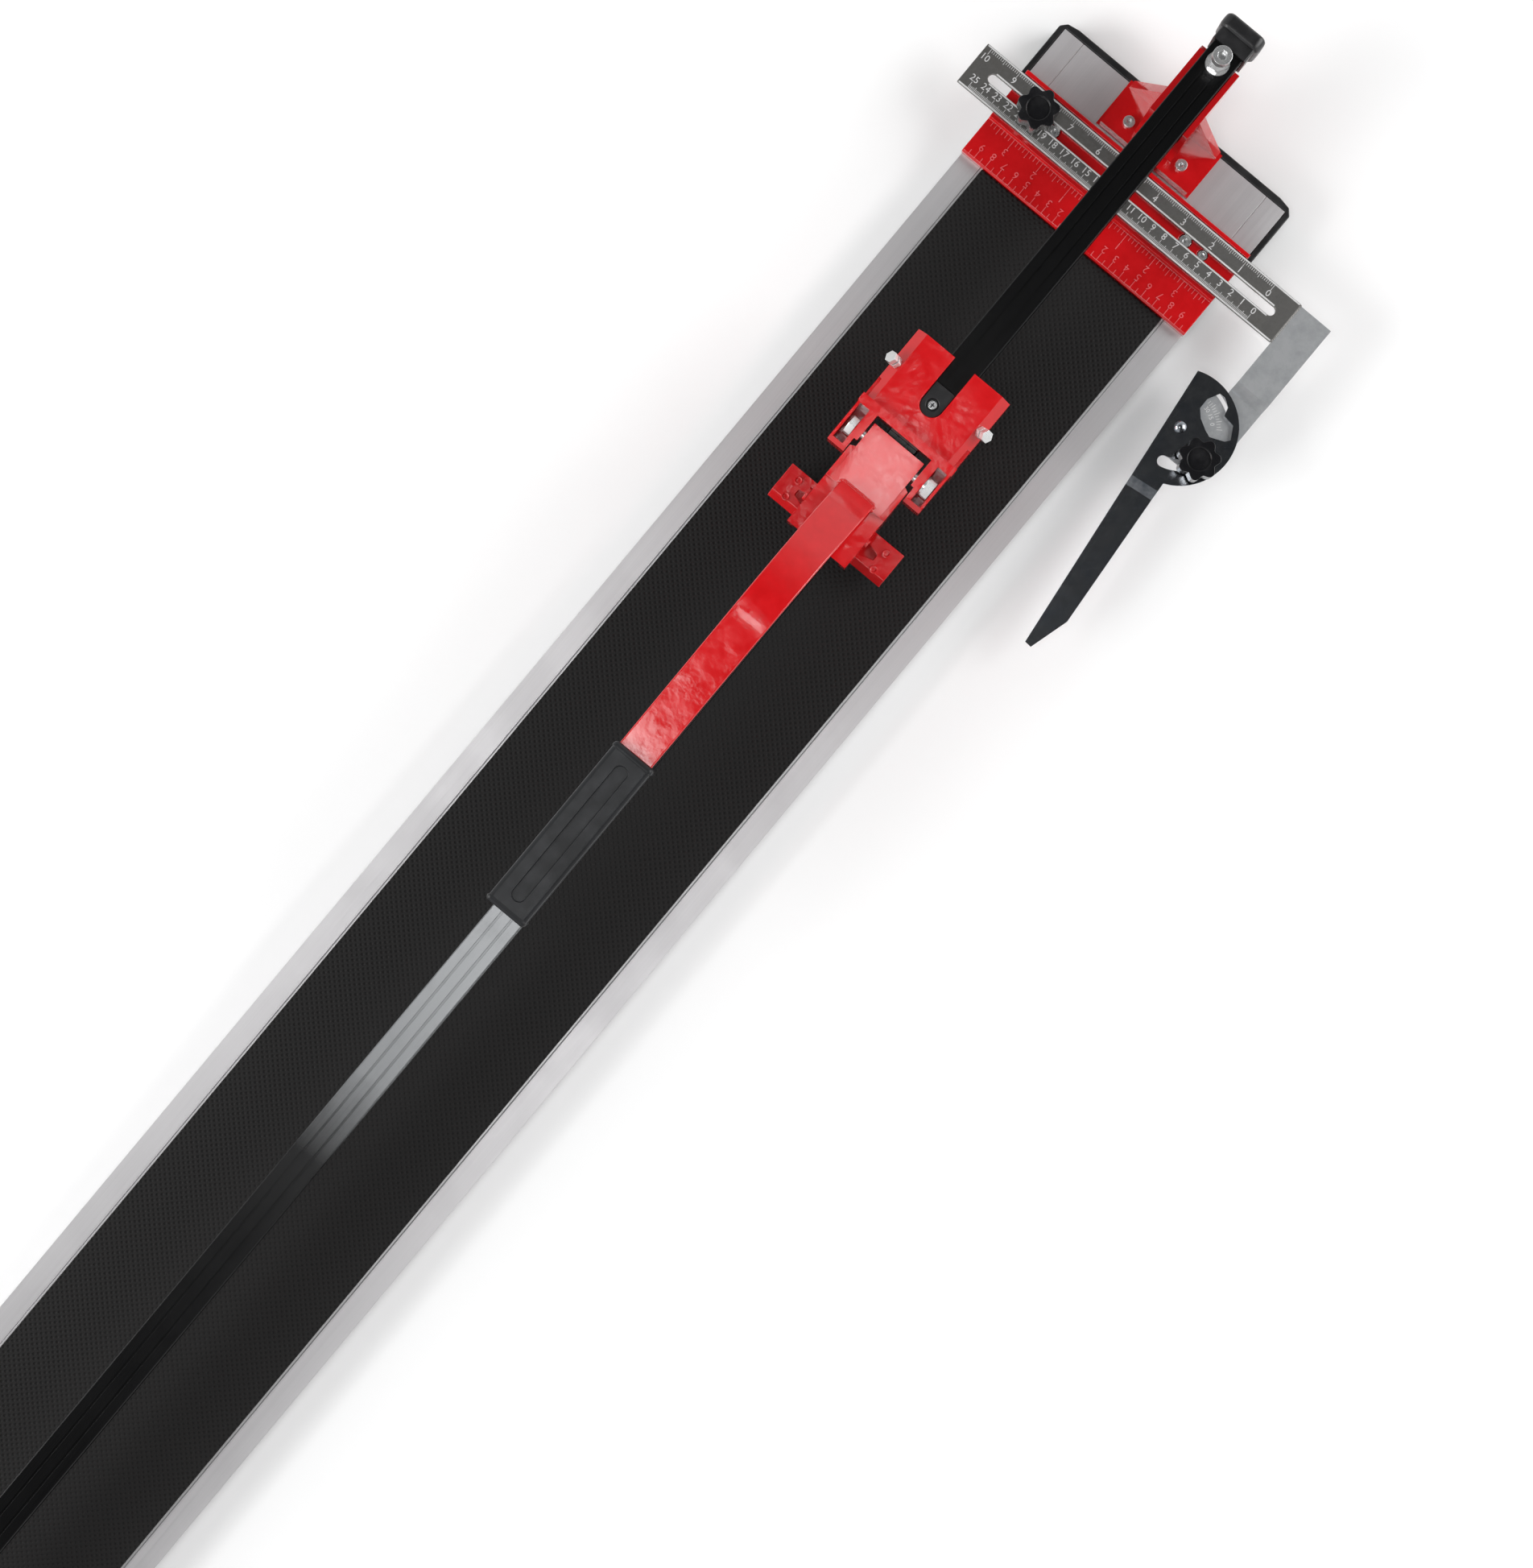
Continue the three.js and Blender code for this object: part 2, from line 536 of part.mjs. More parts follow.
// Tab at the bar's end, bent down to the plate that carries the angle arm.
function makeOffsetPlate() {
  const top = GAUGE_Z;
  const tabX0 = TAB_X1 - TAB_LENGTH;
  const bendX = tabX0 - 7;
  const profile = outline([
    [TAB_X1, top], [TAB_X1, top + PLATE], [tabX0, top + PLATE], [bendX, PLATE_Z + PLATE],
    [RIVET_X - 10, PLATE_Z + PLATE], [RIVET_X - 10, PLATE_Z], [bendX + 1, PLATE_Z], [tabX0 + 1, top],
  ]);
  const strip = prismY(profile, TAB_Y - TAB_WIDTH / 2, TAB_Y + TAB_WIDTH / 2);
  const round = rodZ(RIVET_X, RIVET_Y, ARM_HEAD_R - 1.5, PLATE_Z, PLATE_Z + PLATE, 48);
  const kept = box(RIVET_X - 20.9, RIVET_X + 60, RIVET_Y - 60, RIVET_Y + 6, PLATE_Z - 1, PLATE_Z + PLATE + 1);
  const notch = arcSlot(RIVET_X, RIVET_Y, ARM_HEAD_R - 5, 3, -32, -10, PLATE_Z - 1, PLATE_Z + PLATE + 1);
  const [studX, studY] = armStudPlace();
  const solid = cut(join(strip, round.intersect(kept)), notch,
    rodZ(RIVET_X, RIVET_Y, M5_R + RUN, PLATE_Z - 1, PLATE_Z + PLATE + 1, 16),
    rodZ(studX, studY, STUD_R + RUN, PLATE_Z - 1, PLATE_Z + PLATE + 1, 16));
  return piece('offset_plate', solid, STEEL);
}

function makeAngleArm() {
  const toe = -ARM_REACH;
  const shape = new THREE.Shape();
  const start = Math.atan2(-11.1, -39.2) + 2 * Math.PI;
  const end = Math.atan2(10.5, 39.2) + 2 * Math.PI;
  shape.moveTo(toe + 1, 10.5);
  shape.lineTo(toe, 5.3);
  shape.lineTo(toe + 28.2, -6.6);
  shape.lineTo(-39.2, -11.1);
  shape.absarc(0, 0, ARM_HEAD_R + 0.7, start, end, false);
  const drop = PLATE + GAP;
  const side = outline([
    [60, ARM_Z], [60, ARM_Z + PLATE], [-45.8, ARM_Z + PLATE], [-53, ARM_Z + PLATE - drop],
    [toe - 5, ARM_Z + PLATE - drop], [toe - 5, ARM_Z - drop], [-52, ARM_Z - drop], [-45, ARM_Z],
  ]);
  const window = outline([
    [18.3, -4.6], [12.6, -8.8], [7.8, -15.3], [4.9, -20.7], [7.8, -31.4], [10.9, -34.4], [20.4, -30.4],
    [22.8, -21.7], [29, -20.7], [33.6, -15.4], [34.2, -10.9], [26.5, -5.5],
  ]);
  const slot = arcSlot(0, 0, ARM_SLOT_R, ARM_SLOT_WIDTH, ARM_STUD_DEG - ARM_REST_DEG - ARM_TURN_DEG - 5,
    ARM_STUD_DEG - ARM_REST_DEG + 10, ARM_Z - 5, ARM_Z + 5);
  const solid = cut(prismZ(shape, ARM_Z - 5, ARM_Z + 5, 36).intersect(prismY(side, -60, 60)),
    slot, prismZ(window, ARM_Z - 5, ARM_Z + 5), rodZ(0, 0, M5_R + RUN, ARM_Z - 5, ARM_Z + 5, 16));
  const mesh = piece('angle_arm', solid, STEEL);
  mesh.position.set(RIVET_X, RIVET_Y, 0);
  mesh.rotation.z = THREE.MathUtils.degToRad(ARM_REST_DEG);
  return mesh;
}

function makeRivet() {
  const top = ARM_Z + PLATE + GAP;
  const profile = [
    [0, PLATE_Z + 0.1], [M5_R, PLATE_Z + 0.1], [M5_R, top], [4.3, top], [4, top + 1.2], [2.4, top + 2.4],
    [0, top + 2.8],
  ];
  const geometry = new THREE.LatheGeometry(profile.map(([r, z]) => new THREE.Vector2(r, z)), 20);
  geometry.rotateX(Math.PI / 2);
  geometry.translate(RIVET_X, RIVET_Y, 0);
  return piece('angle_rivet', toSolid(geometry), STEEL);
}

// ---------- carriage ----------
function makeCarriageBody() {
  const half = CARRIAGE_WIDTH / 2;
  const x0 = CARRIAGE_X - CARRIAGE_LENGTH / 2;
  const x1 = CARRIAGE_X + CARRIAGE_LENGTH / 2;
  const under = RAIL_Z - 14;
  const section = outline([
    [-half + 11, under], [half - 11, under], [half, under + 16], [half, CARRIAGE_TOP - 6],
    [half - 7, CARRIAGE_TOP], [-half + 7, CARRIAGE_TOP], [-half, CARRIAGE_TOP - 6], [-half, under + 16],
  ]);
  const block = prismX(section, x0, x1);
  const notches = [-1, 1].map((s) => {
    const ys = [s * (half - 2.4), s * (half + 0.01)].sort((a, b) => a - b);
    return box(x0 - 1, CARRIAGE_X - 12.3, ys[0], ys[1], CARRIAGE_TOP - 6.1, CARRIAGE_TOP - 2);
  });
  const rib = box(x0 - 5.2, x0 + 1, -half - 0.8, half + 0.8, under + 20, CARRIAGE_TOP + 4);
  const ears = [-1, 1].map(makeEar);
  const cavity = box(x0 - 20, x1 + 1, -CAVITY_Y, CAVITY_Y, RAIL_Z - 7, RAIL_TOP + 1.3);
  const slot = join(slotSolidX(CARRIAGE_X - 13.7, x1 + 20, 17, RAIL_TOP + 3.8, CARRIAGE_TOP + 1),
    box(CARRIAGE_X + 4, x1 + 1, -8.5, 8.5, RAIL_TOP, CARRIAGE_TOP));
  const holes = rollerPlaces().map(([x, y]) => rodZ(x, y, AXLE_R + RUN, RAIL_TOP, CARRIAGE_TOP - 4, 16));
  holes.push(rodZ(CARRIAGE_X - 4.7, 0, 1.7, RAIL_TOP, RAIL_TOP + 5, 12));
  const wellTop = Math.max(under + 3, WHEEL_Z + WHEEL_R + 1);
  holes.push(box(WHEEL_X - 12, WHEEL_X + 12, -1.8, 1.8, under - 1, wellTop));
  for (const s of [-1, 1]) holes.push(adjusterRod(s, M5_R + RUN, -15, 8, 16));
  const shell = cut(join(block, rib), ...notches, cavity);
  return piece('carriage_body', cut(join(shell, ...ears), slot, ...holes), RED);
}

// One hinge ear: a box with an open pocket for the pivot bolt's head or nut.
function makeEar(s) {
  const half = CARRIAGE_WIDTH / 2;
  const x0 = HANDLE_PIVOT_X - 17;
  const x1 = CARRIAGE_X - CARRIAGE_LENGTH / 2 - 4;
  const inner = FORK_NOSE_WIDTH / 2 + 2;
  const z1 = PIVOT_Z + 8;
  const z0 = RAIL_TOP - 12;
  const side = outline([
    [x0, z0 + 8], [x0 + 8, z0], [x1 + 0.5, z0 - 10], [x1 + 0.5, z1], [x0 + 3, z1], [x0, z1 - 3],
  ]);
  const ys = [s * inner, s * half].sort((a, b) => a - b);
  const block = prismY(side, ys[0], ys[1]);
  const pocketYs = [s * (inner + 6.3), s * (half - 2)].sort((a, b) => a - b);
  const pocket = box(x0 + 3.4, x1 - 2, pocketYs[0], pocketYs[1], PIVOT_Z - 9, z1 + 1);
  const reliefYs = [s * (inner - 1), s * (FORK_WIDTH / 2 + 0.9)].sort((a, b) => a - b);
  const relief = box(x0 - 1, HANDLE_PIVOT_X - 5.9, reliefYs[0], reliefYs[1], z0 - 12, z1 + 1);
  const boreYs = [s * (inner - 2), s * (inner + 8)].sort((a, b) => a - b);
  const bore = rodY(HANDLE_PIVOT_X, PIVOT_Z, M8_R + RUN, boreYs[0], boreYs[1]);
  return cut(block, pocket, relief, bore);
}

function slotSolidX(x0, x1, width, z0, z1) {
  const shape = new THREE.Shape();
  const r = width / 2;
  shape.moveTo(x1, -r);
  shape.lineTo(x1, r);
  shape.absarc(x0 + r, 0, r, Math.PI / 2, 1.5 * Math.PI, false);
  return prismZ(shape, z0, z1, 12);
}

function rollerPlaces() {
  const places = [];
  for (const x of [-ROLLER_SPREAD, ROLLER_SPREAD]) {
    for (const y of [-ROLLER_Y, ROLLER_Y]) places.push([CARRIAGE_X + x, y]);
  }
  return places;
}

function makeRoller(index, x, y) {
  const z = ROLLER_Z;
  const h = ROLLER_HEIGHT / 2;
  const ring = cut(rodZ(0, 0, ROLLER_R, z - h, z + h, 28), rodZ(0, 0, AXLE_R + RUN, z - h - 1, z + h + 1, 16));
  const mesh = piece(`roller_${index + 1}`, ring, STEEL);
  mesh.position.set(x, y, 0);
  return mesh;
}

function makeRollerAxle(index, x, y) {
  const z = ROLLER_Z - ROLLER_HEIGHT / 2 - GAP;
  const solid = join(rodZ(x, y, AXLE_R, z - 1, CARRIAGE_TOP - 5, 16), rodZ(x, y, 3.3, z - 2.2, z, 16));
  return piece(`roller_axle_${index + 1}`, solid, STEEL);
}

// The side adjusting screws lean outwards, square to the sloped shoulders.
const ADJUSTER_LEAN = THREE.MathUtils.degToRad(40.6);

function adjusterRod(s, r, a0, a1, sides) {
  const geometry = new THREE.CylinderGeometry(r, r, a1 - a0, sides);
  geometry.translate(0, (a0 + a1) / 2, 0);
  geometry.rotateX(Math.PI / 2);
  geometry.rotateX(-s * ADJUSTER_LEAN);
  geometry.translate(CARRIAGE_X + 1.6, s * (CARRIAGE_WIDTH / 2 - 3.5), CARRIAGE_TOP - 3);
  return toSolid(geometry);
}

function makeAdjusters() {
  return [-1, 1].flatMap((s) => {
    const side = s > 0 ? 'left' : 'right';
    const hexR = 8 / Math.sqrt(3);
    const screw = join(adjusterRod(s, M5_R, -12, 5.5, 16), adjusterRod(s, hexR, 5, 9, 6));
    const nut = cut(adjusterRod(s, hexR, GAP, 4.3, 6), adjusterRod(s, M5_R + RUN, -1, 6, 16));
    return [piece(`adjusting_screw_${side}`, screw, STEEL), piece(`lock_nut_${side}`, nut, STEEL)];
  });
}

function makeWiper() {
  const x0 = CARRIAGE_X - 13.7 + GAP;
  const top = slotSolidX(x0, CARRIAGE_X + 9.4, 16.4, RAIL_TOP + 3.8 + GAP, CARRIAGE_TOP - 2);
  const lip = box(CARRIAGE_X + 4 + GAP, CARRIAGE_X + 9.4, -8.2, 8.2, RAIL_TOP + 0.6, RAIL_TOP + 6);
  const hole = join(rodZ(CARRIAGE_X - 4.7, 0, 1.7, RAIL_TOP, CARRIAGE_TOP, 12),
    rodZ(CARRIAGE_X - 4.7, 0, 4.4, RAIL_TOP + 6.4, CARRIAGE_TOP));
  return piece('wiper', cut(join(top, lip), hole), PLASTIC);
}

function makeWiperScrew() {
  const x = CARRIAGE_X - 4.7;
  const head = RAIL_TOP + 6.4;
  const shank = rodZ(x, 0, 1.5, RAIL_TOP + 1.4, head + 0.5, 12);
  return piece('wiper_screw', join(shank, rodZ(x, 0, 3, head, head + 1.6)), STEEL);
}

// The scoring wheel runs in a well in its holder, on a cross axle.
function makeWheelParts() {
  const x = WHEEL_X;
  const top = RAIL_Z - 14 - RUN;
  const block = box(x - 18, x + 9, -6, 6, WHEEL_Z - 4, top);
  const well = rodY(x, WHEEL_Z, WHEEL_R + 0.8, -1.6, 1.6, 28);
  const holder = cut(block, rodY(x, WHEEL_Z, 2 + RUN, -7, 7, 16), well);
  const profile = [
    [2 + RUN, -1.4], [WHEEL_R - 3, -1.4], [WHEEL_R, 0], [WHEEL_R - 3, 1.4], [2 + RUN, 1.4], [2 + RUN, -1.4],
  ];
  const geometry = new THREE.LatheGeometry(profile.map(([r, y]) => new THREE.Vector2(r, y)), 32);
  const wheel = piece('scoring_wheel', toSolid(geometry), STEEL);
  wheel.position.set(x, 0, WHEEL_Z);
  return [
    piece('wheel_holder', holder, STEEL),
    wheel,
    piece('wheel_axle', rodY(x, WHEEL_Z, 2, -6.6, 6.6, 16), STEEL),
  ];
}

// ---------- handle ----------
function makeFork() {
  const x0 = FORK_X0;
  const nose = HANDLE_PIVOT_X + FORK_NOSE;
  const shoulder = HANDLE_PIVOT_X - 11;
  const half = FORK_WIDTH / 2;
  const under = RAIL_TOP + 1.4;
  const top = FORK_TOP;
  const low = top - 2.2;
  const webUnder = SHOE_PIN_Z + SHOE_BOSS_R + 0.5;
  const cheek = outline([
    [x0, low], [x0, RAIL_TOP - 2], [x0 + 8, RAIL_Z + 4], [SHOE_PIN_X + 14, RAIL_Z - 3],
    [shoulder, RAIL_TOP - 2], [shoulder, low],
  ]);
  const block = prismY(outline([
    [x0 + 40.4, RAIL_TOP + 6.5], [HANDLE_PIVOT_X - 9, RAIL_TOP + 6.5], [HANDLE_PIVOT_X - 6, under],
    [HANDLE_PIVOT_X, under],
    [nose, PIVOT_Z + 5], [nose, top], [x0 + 40.4, top],
  ]), -FORK_NOSE_WIDTH / 2, FORK_NOSE_WIDTH / 2);
  const shoulders = prismZ(outline([
    [x0 + 40.4, -half], [shoulder, -half], [shoulder, -half + 0.4], [shoulder + 1.6, -FORK_NOSE_WIDTH / 2],
    [shoulder + 1.6, FORK_NOSE_WIDTH / 2], [shoulder, half - 0.4], [shoulder, half], [x0 + 40.4, half]]),
  RAIL_TOP + 6.5, top - 1);
  const web = box(x0, x0 + 41, -half, half, webUnder, low);
  const cheeks = prismY(cheek, -half, half);
  const passage = box(x0 - 5, nose + 5, -half + FORK_CHEEK, half - FORK_CHEEK, RAIL_Z - 20, webUnder);
  const body = join(cut(cheeks, passage), web, shoulders, block);
  return piece('handle_fork', cut(body,
    rodY(HANDLE_PIVOT_X, PIVOT_Z, M8_R + RUN, -half - 1, half + 1),
    rodY(SHOE_PIN_X, SHOE_PIN_Z, PIN_R + RUN, -half - 1, half + 1)), RED);
}

function barCurve() {
  return new THREE.CubicBezierCurve(
    new THREE.Vector2(FORK_X0 + 40, FORK_TOP - 4), new THREE.Vector2(FORK_X0 + 18, FORK_TOP + 30),
    new THREE.Vector2(FORK_X0 - 22, BAR_TOP_Z), new THREE.Vector2(FORK_X0 - 84, BAR_TOP_Z));
}

function makeBar() {
  const curve = barCurve();
  const upper = [];
  const lower = [];
  const steps = 18;
  for (let i = 0; i <= steps; i += 1) {
    const point = curve.getPoint(i / steps);
    const tangent = curve.getTangent(i / steps);
    upper.push([point.x + tangent.y * BAR_THICKNESS / 2, point.y - tangent.x * BAR_THICKNESS / 2]);
    lower.push([point.x - tangent.y * BAR_THICKNESS / 2, point.y + tangent.x * BAR_THICKNESS / 2]);
  }
  const tip = GRIP_START_X - GRIP_LENGTH + 8;
  const profile = outline([
    ...upper, [tip, BAR_TOP_Z + BAR_THICKNESS / 2], [tip, BAR_TOP_Z - BAR_THICKNESS / 2], ...lower.reverse(),
  ]);
  const root = FORK_X0 + 70;
  const plan = outline([
    [root, -BAR_WIDTH_ROOT / 2], [root, BAR_WIDTH_ROOT / 2], [GRIP_START_X, BAR_WIDTH_TIP / 2],
    [tip - 5, BAR_WIDTH_TIP / 2], [tip - 5, -BAR_WIDTH_TIP / 2], [GRIP_START_X, -BAR_WIDTH_TIP / 2],
  ]);
  const seat = join(box(FORK_X0 - 5, root + 20, -40, 40, 0, FORK_TOP - 2.2 + GAP),
    box(FORK_X0 + 40.4 - GAP, root + 20, -40, 40, FORK_TOP - 5, FORK_TOP + GAP));
  return piece('handle_bar', cut(prismY(profile, -20, 20).intersect(prismZ(plan, 0, 300)), seat), RED);
}

function makeGrip() {
  const x1 = GRIP_START_X;
  const x0 = x1 - GRIP_LENGTH;
  const sleeve = prismX(roundedOutline(GRIP_WIDTH, GRIP_HEIGHT, 5, 0, BAR_TOP_Z), x0, x1, 4);
  const collars = [x0, x1 - 4].map((x) => prismX(
    roundedOutline(GRIP_WIDTH + 1.4, GRIP_HEIGHT + 1.4, 5.5, 0, BAR_TOP_Z), x, x + 4, 4));
  const w = BAR_WIDTH_TIP / 2 + GAP;
  const h = BAR_THICKNESS / 2 + GAP;
  const socket = box(x0 + 8 - GAP, x1 + 1, -w, w, BAR_TOP_Z - h, BAR_TOP_Z + h);
  return piece('handle_grip', cut(join(sleeve, ...collars), socket), RUBBER);
}

function makePivotBolt() {
  const inner = FORK_NOSE_WIDTH / 2 + 8.3 + GAP;
  const hex = rodY(HANDLE_PIVOT_X, PIVOT_Z, M8_HEX / Math.sqrt(3), inner, inner + 5.3, 6);
  const shank = rodY(HANDLE_PIVOT_X, PIVOT_Z, M8_R, -inner - 6.6, inner + 1);
  return piece('pivot_bolt', join(hex, shank), STEEL);
}

function makePivotNut() {
  const inner = FORK_NOSE_WIDTH / 2 + 8.3 + GAP;
  const washer = rodY(HANDLE_PIVOT_X, PIVOT_Z, 8, -inner - 1.3, -inner, 24);
  const hex = rodY(HANDLE_PIVOT_X, PIVOT_Z, M8_HEX / Math.sqrt(3), -inner - 6.9, -inner - 1, 6);
  const bore = rodY(HANDLE_PIVOT_X, PIVOT_Z, M8_R + RUN, -inner - 9, 0);
  return piece('pivot_nut', cut(join(washer, hex), bore), STEEL);
}

// Breaking shoe: two pressing wings on legs that straddle the rail, hung on one pin.
function makeShoe() {
  const half = SHOE_WIDTH / 2;
  const legOuter = FORK_WIDTH / 2 - FORK_CHEEK - 0.5;
  const legInner = RAIL_WIDTH / 2 + 0.9;
  const x0 = SHOE_PIN_X - SHOE_LENGTH / 2;
  const x1 = SHOE_PIN_X + SHOE_LENGTH / 2;
  const top = SHOE_Z + SHOE_HEIGHT;
  const wingProfile = outline([[x0 + 2, SHOE_Z], [x1, SHOE_Z], [x1, top], [x0 + 5, top], [x0, top - 6]]);
  const wings = prismY(wingProfile, -half, half);
  const legs = prismY(outline([
    [x0 + 4, top - 4], [x1 - 4, top - 4], [SHOE_PIN_X + 7, SHOE_PIN_Z], [SHOE_PIN_X - 7, SHOE_PIN_Z],
  ]), -legOuter, legOuter);
  const boss = rodY(SHOE_PIN_X, SHOE_PIN_Z, SHOE_BOSS_R, -legOuter, legOuter, 24);
  const gap = box(x0 - 5, x1 + 5, -legInner, legInner, SHOE_Z - 5, SHOE_PIN_Z - SHOE_BOSS_R);
  const lift = box(x0 - 5, x1 + 5, -legInner, legInner, SHOE_PIN_Z - 6, SHOE_PIN_Z + 8);
  const recesses = [-1, 1].map((s) => prismZ(outline([
    [SHOE_PIN_X - 6.5, s * (legOuter + 1)], [SHOE_PIN_X + 6.5, s * (legOuter + 1)],
    [SHOE_PIN_X + 2.2, s * (half - 14.7)], [SHOE_PIN_X - 2.2, s * (half - 14.7)]]), top - 5, top + 1));
  const body = join(cut(join(wings, legs), gap, lift), boss);
  return piece('breaking_shoe', cut(body, ...recesses,
    rodY(SHOE_PIN_X, SHOE_PIN_Z, PIN_R + RUN, -legOuter - 1, legOuter + 1)), RED);
}

function makeShoePin() {
  const half = FORK_WIDTH / 2 + GAP;
  const pin = rodY(SHOE_PIN_X, SHOE_PIN_Z, PIN_R, -half - 1.5, half + 0.5);
  const head = rodY(SHOE_PIN_X, SHOE_PIN_Z, 5, half, half + 2.2);
  return piece('shoe_pin', join(pin, head), STEEL);
}

// ---------- assembly ----------
const bed = new THREE.Group();
const bedCap = makeBedCap();
bed.add(makeBed(), bedCap, turned(bedCap, 'bed_cap_tail'),
  makeFoot('foot_head', BED_X - FOOT_INSET), makeFoot('foot_middle', 0),
  makeFoot('foot_tail', -BED_X + FOOT_INSET),
  makePad('pad_left', 1), makePad('pad_right', -1), makeRidge());

const railSet = new THREE.Group();
for (const mesh of [makeRailCap(), makeBracket(), makeHeightNut(), makeHeightScrew(),
  makeBracketBolt('bracket_bolt_left_head', BRACKET_BOLT_Y),
  makeBracketBolt('bracket_bolt_right_head', -BRACKET_BOLT_Y)]) {
  railSet.add(mesh, turned(mesh, mesh.name.replace('head', 'tail')));
}
railSet.add(makeRail());

const [studX, studY] = armStudPlace();
const gauge = new THREE.Group();
gauge.add(makeGaugeBar(), makeOffsetPlate(), makeRivet(), makeAngleArm(),
  makeStud('angle_stud', studX, studY, PLATE_Z, ARM_Z + PLATE + 12),
  makeKnob('angle_knob', studX, studY, ARM_Z + PLATE + GAP));

const fence = new THREE.Group();
fence.add(makeFence(), ...fenceScrews().map((screw, i) => makeFenceScrew(i, screw)),
  makeStud('gauge_stud', GAUGE_X, STUD_Y, DECK + 3 + GAP, GAUGE_Z + GAUGE_THICKNESS + 12),
  makeKnob('gauge_knob', GAUGE_X, STUD_Y, GAUGE_Z + GAUGE_THICKNESS + GAP));

const carriage = new THREE.Group();
carriage.add(makeCarriageBody(), ...makeAdjusters(), makeWiper(), makeWiperScrew(), ...makeWheelParts(),
  makePivotBolt(), makePivotNut());
rollerPlaces().forEach(([x, y], i) => carriage.add(makeRoller(i, x, y), makeRollerAxle(i, x, y)));

const handle = new THREE.Group();
handle.add(makeFork(), makeBar(), makeGrip(), makeShoe(), makeShoePin());

const tileCutter = new THREE.Group();
tileCutter.add(bed, railSet, fence, gauge, carriage, handle);

export default tileCutter;
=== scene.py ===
"""The look of a manual tile cutter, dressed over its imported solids."""

import json
import logging
import math
from dataclasses import dataclass
from enum import Enum
from typing import Any, Iterable, Sequence

import bpy
from mathutils import Matrix, Vector

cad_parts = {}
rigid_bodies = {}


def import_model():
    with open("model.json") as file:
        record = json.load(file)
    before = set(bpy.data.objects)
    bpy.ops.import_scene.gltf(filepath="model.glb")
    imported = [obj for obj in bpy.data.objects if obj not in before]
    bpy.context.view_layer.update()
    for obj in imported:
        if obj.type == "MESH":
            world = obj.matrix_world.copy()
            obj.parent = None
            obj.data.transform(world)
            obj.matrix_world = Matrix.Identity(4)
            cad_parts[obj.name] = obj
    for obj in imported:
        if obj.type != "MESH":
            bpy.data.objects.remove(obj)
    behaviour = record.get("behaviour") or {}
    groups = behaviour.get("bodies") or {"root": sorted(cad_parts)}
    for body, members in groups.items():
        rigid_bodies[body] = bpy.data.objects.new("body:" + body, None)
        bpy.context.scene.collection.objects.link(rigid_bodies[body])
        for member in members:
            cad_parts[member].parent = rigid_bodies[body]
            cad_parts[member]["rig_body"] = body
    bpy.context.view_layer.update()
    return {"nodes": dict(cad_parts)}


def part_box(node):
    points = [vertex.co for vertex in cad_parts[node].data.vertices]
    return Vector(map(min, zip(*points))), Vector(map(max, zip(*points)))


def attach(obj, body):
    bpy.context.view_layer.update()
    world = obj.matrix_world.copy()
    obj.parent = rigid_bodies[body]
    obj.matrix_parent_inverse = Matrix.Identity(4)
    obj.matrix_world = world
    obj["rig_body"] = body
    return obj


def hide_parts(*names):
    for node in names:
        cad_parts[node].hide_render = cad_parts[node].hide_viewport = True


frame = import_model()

MM = 0.001
INCH = 0.0254
LOG = logging.getLogger("tile_cutter")

Colour = tuple[float, float, float]
Point = tuple[float, float, float]


# ---------------------------------------------------------------- shader maths


class Num:
    """A number socket that Python's own operators act on."""

    def __init__(self, tree: bpy.types.NodeTree, socket: Any) -> None:
        """Wraps a socket.

        Args:
            tree: the node tree that the socket is in.
            socket: an output socket that carries a number.
        """
        self.tree = tree
        self.socket = socket

    def math(self, operation: str, *others: Any, clamp: bool = False) -> "Num":
        """Adds a Math node whose first input is this number.

        Args:
            operation: the Math node's operation.
            others: further inputs, each a Num or a plain number.
            clamp: whether the result is kept between 0 and 1.

        Returns:
            The node's result.
        """
        return _math(self.tree, operation, (self, *others), clamp)

    def __add__(self, other: Any) -> "Num":
        """self + other."""
        return self.math("ADD", other)

    __radd__ = __add__

    def __sub__(self, other: Any) -> "Num":
        """self - other."""
        return self.math("SUBTRACT", other)

    def __rsub__(self, other: float) -> "Num":
        """other - self."""
        return _math(self.tree, "SUBTRACT", (other, self))

    def __mul__(self, other: Any) -> "Num":
        """self * other."""
        return self.math("MULTIPLY", other)

    __rmul__ = __mul__

    def __truediv__(self, other: Any) -> "Num":
        """self / other."""
        return self.math("DIVIDE", other)

    def __pow__(self, other: Any) -> "Num":
        """self ** other."""
        return self.math("POWER", other)

    def over(self, low: float, high: float) -> "Num":
        """0 below low, 1 above high, and straight between them."""
        return ((self - low) / (high - low)).math("ADD", 0.0, clamp=True)


def _math(tree: bpy.types.NodeTree, operation: str, values: Sequence[Any], clamp: bool = False) -> Num:
    """Adds one Math node.

    Args:
        tree: the node tree.
        operation: the node's operation.
        values: its inputs, each a Num or a plain number.
        clamp: whether the result is kept between 0 and 1.

    Returns:
        The node's result.
    """
    node = tree.nodes.new("ShaderNodeMath")
    node.operation = operation
    node.use_clamp = clamp
    for place, value in enumerate(values):
        if isinstance(value, Num):
            tree.links.new(value.socket, node.inputs[place])
        else:
            node.inputs[place].default_value = value
    return Num(tree, node.outputs[0])


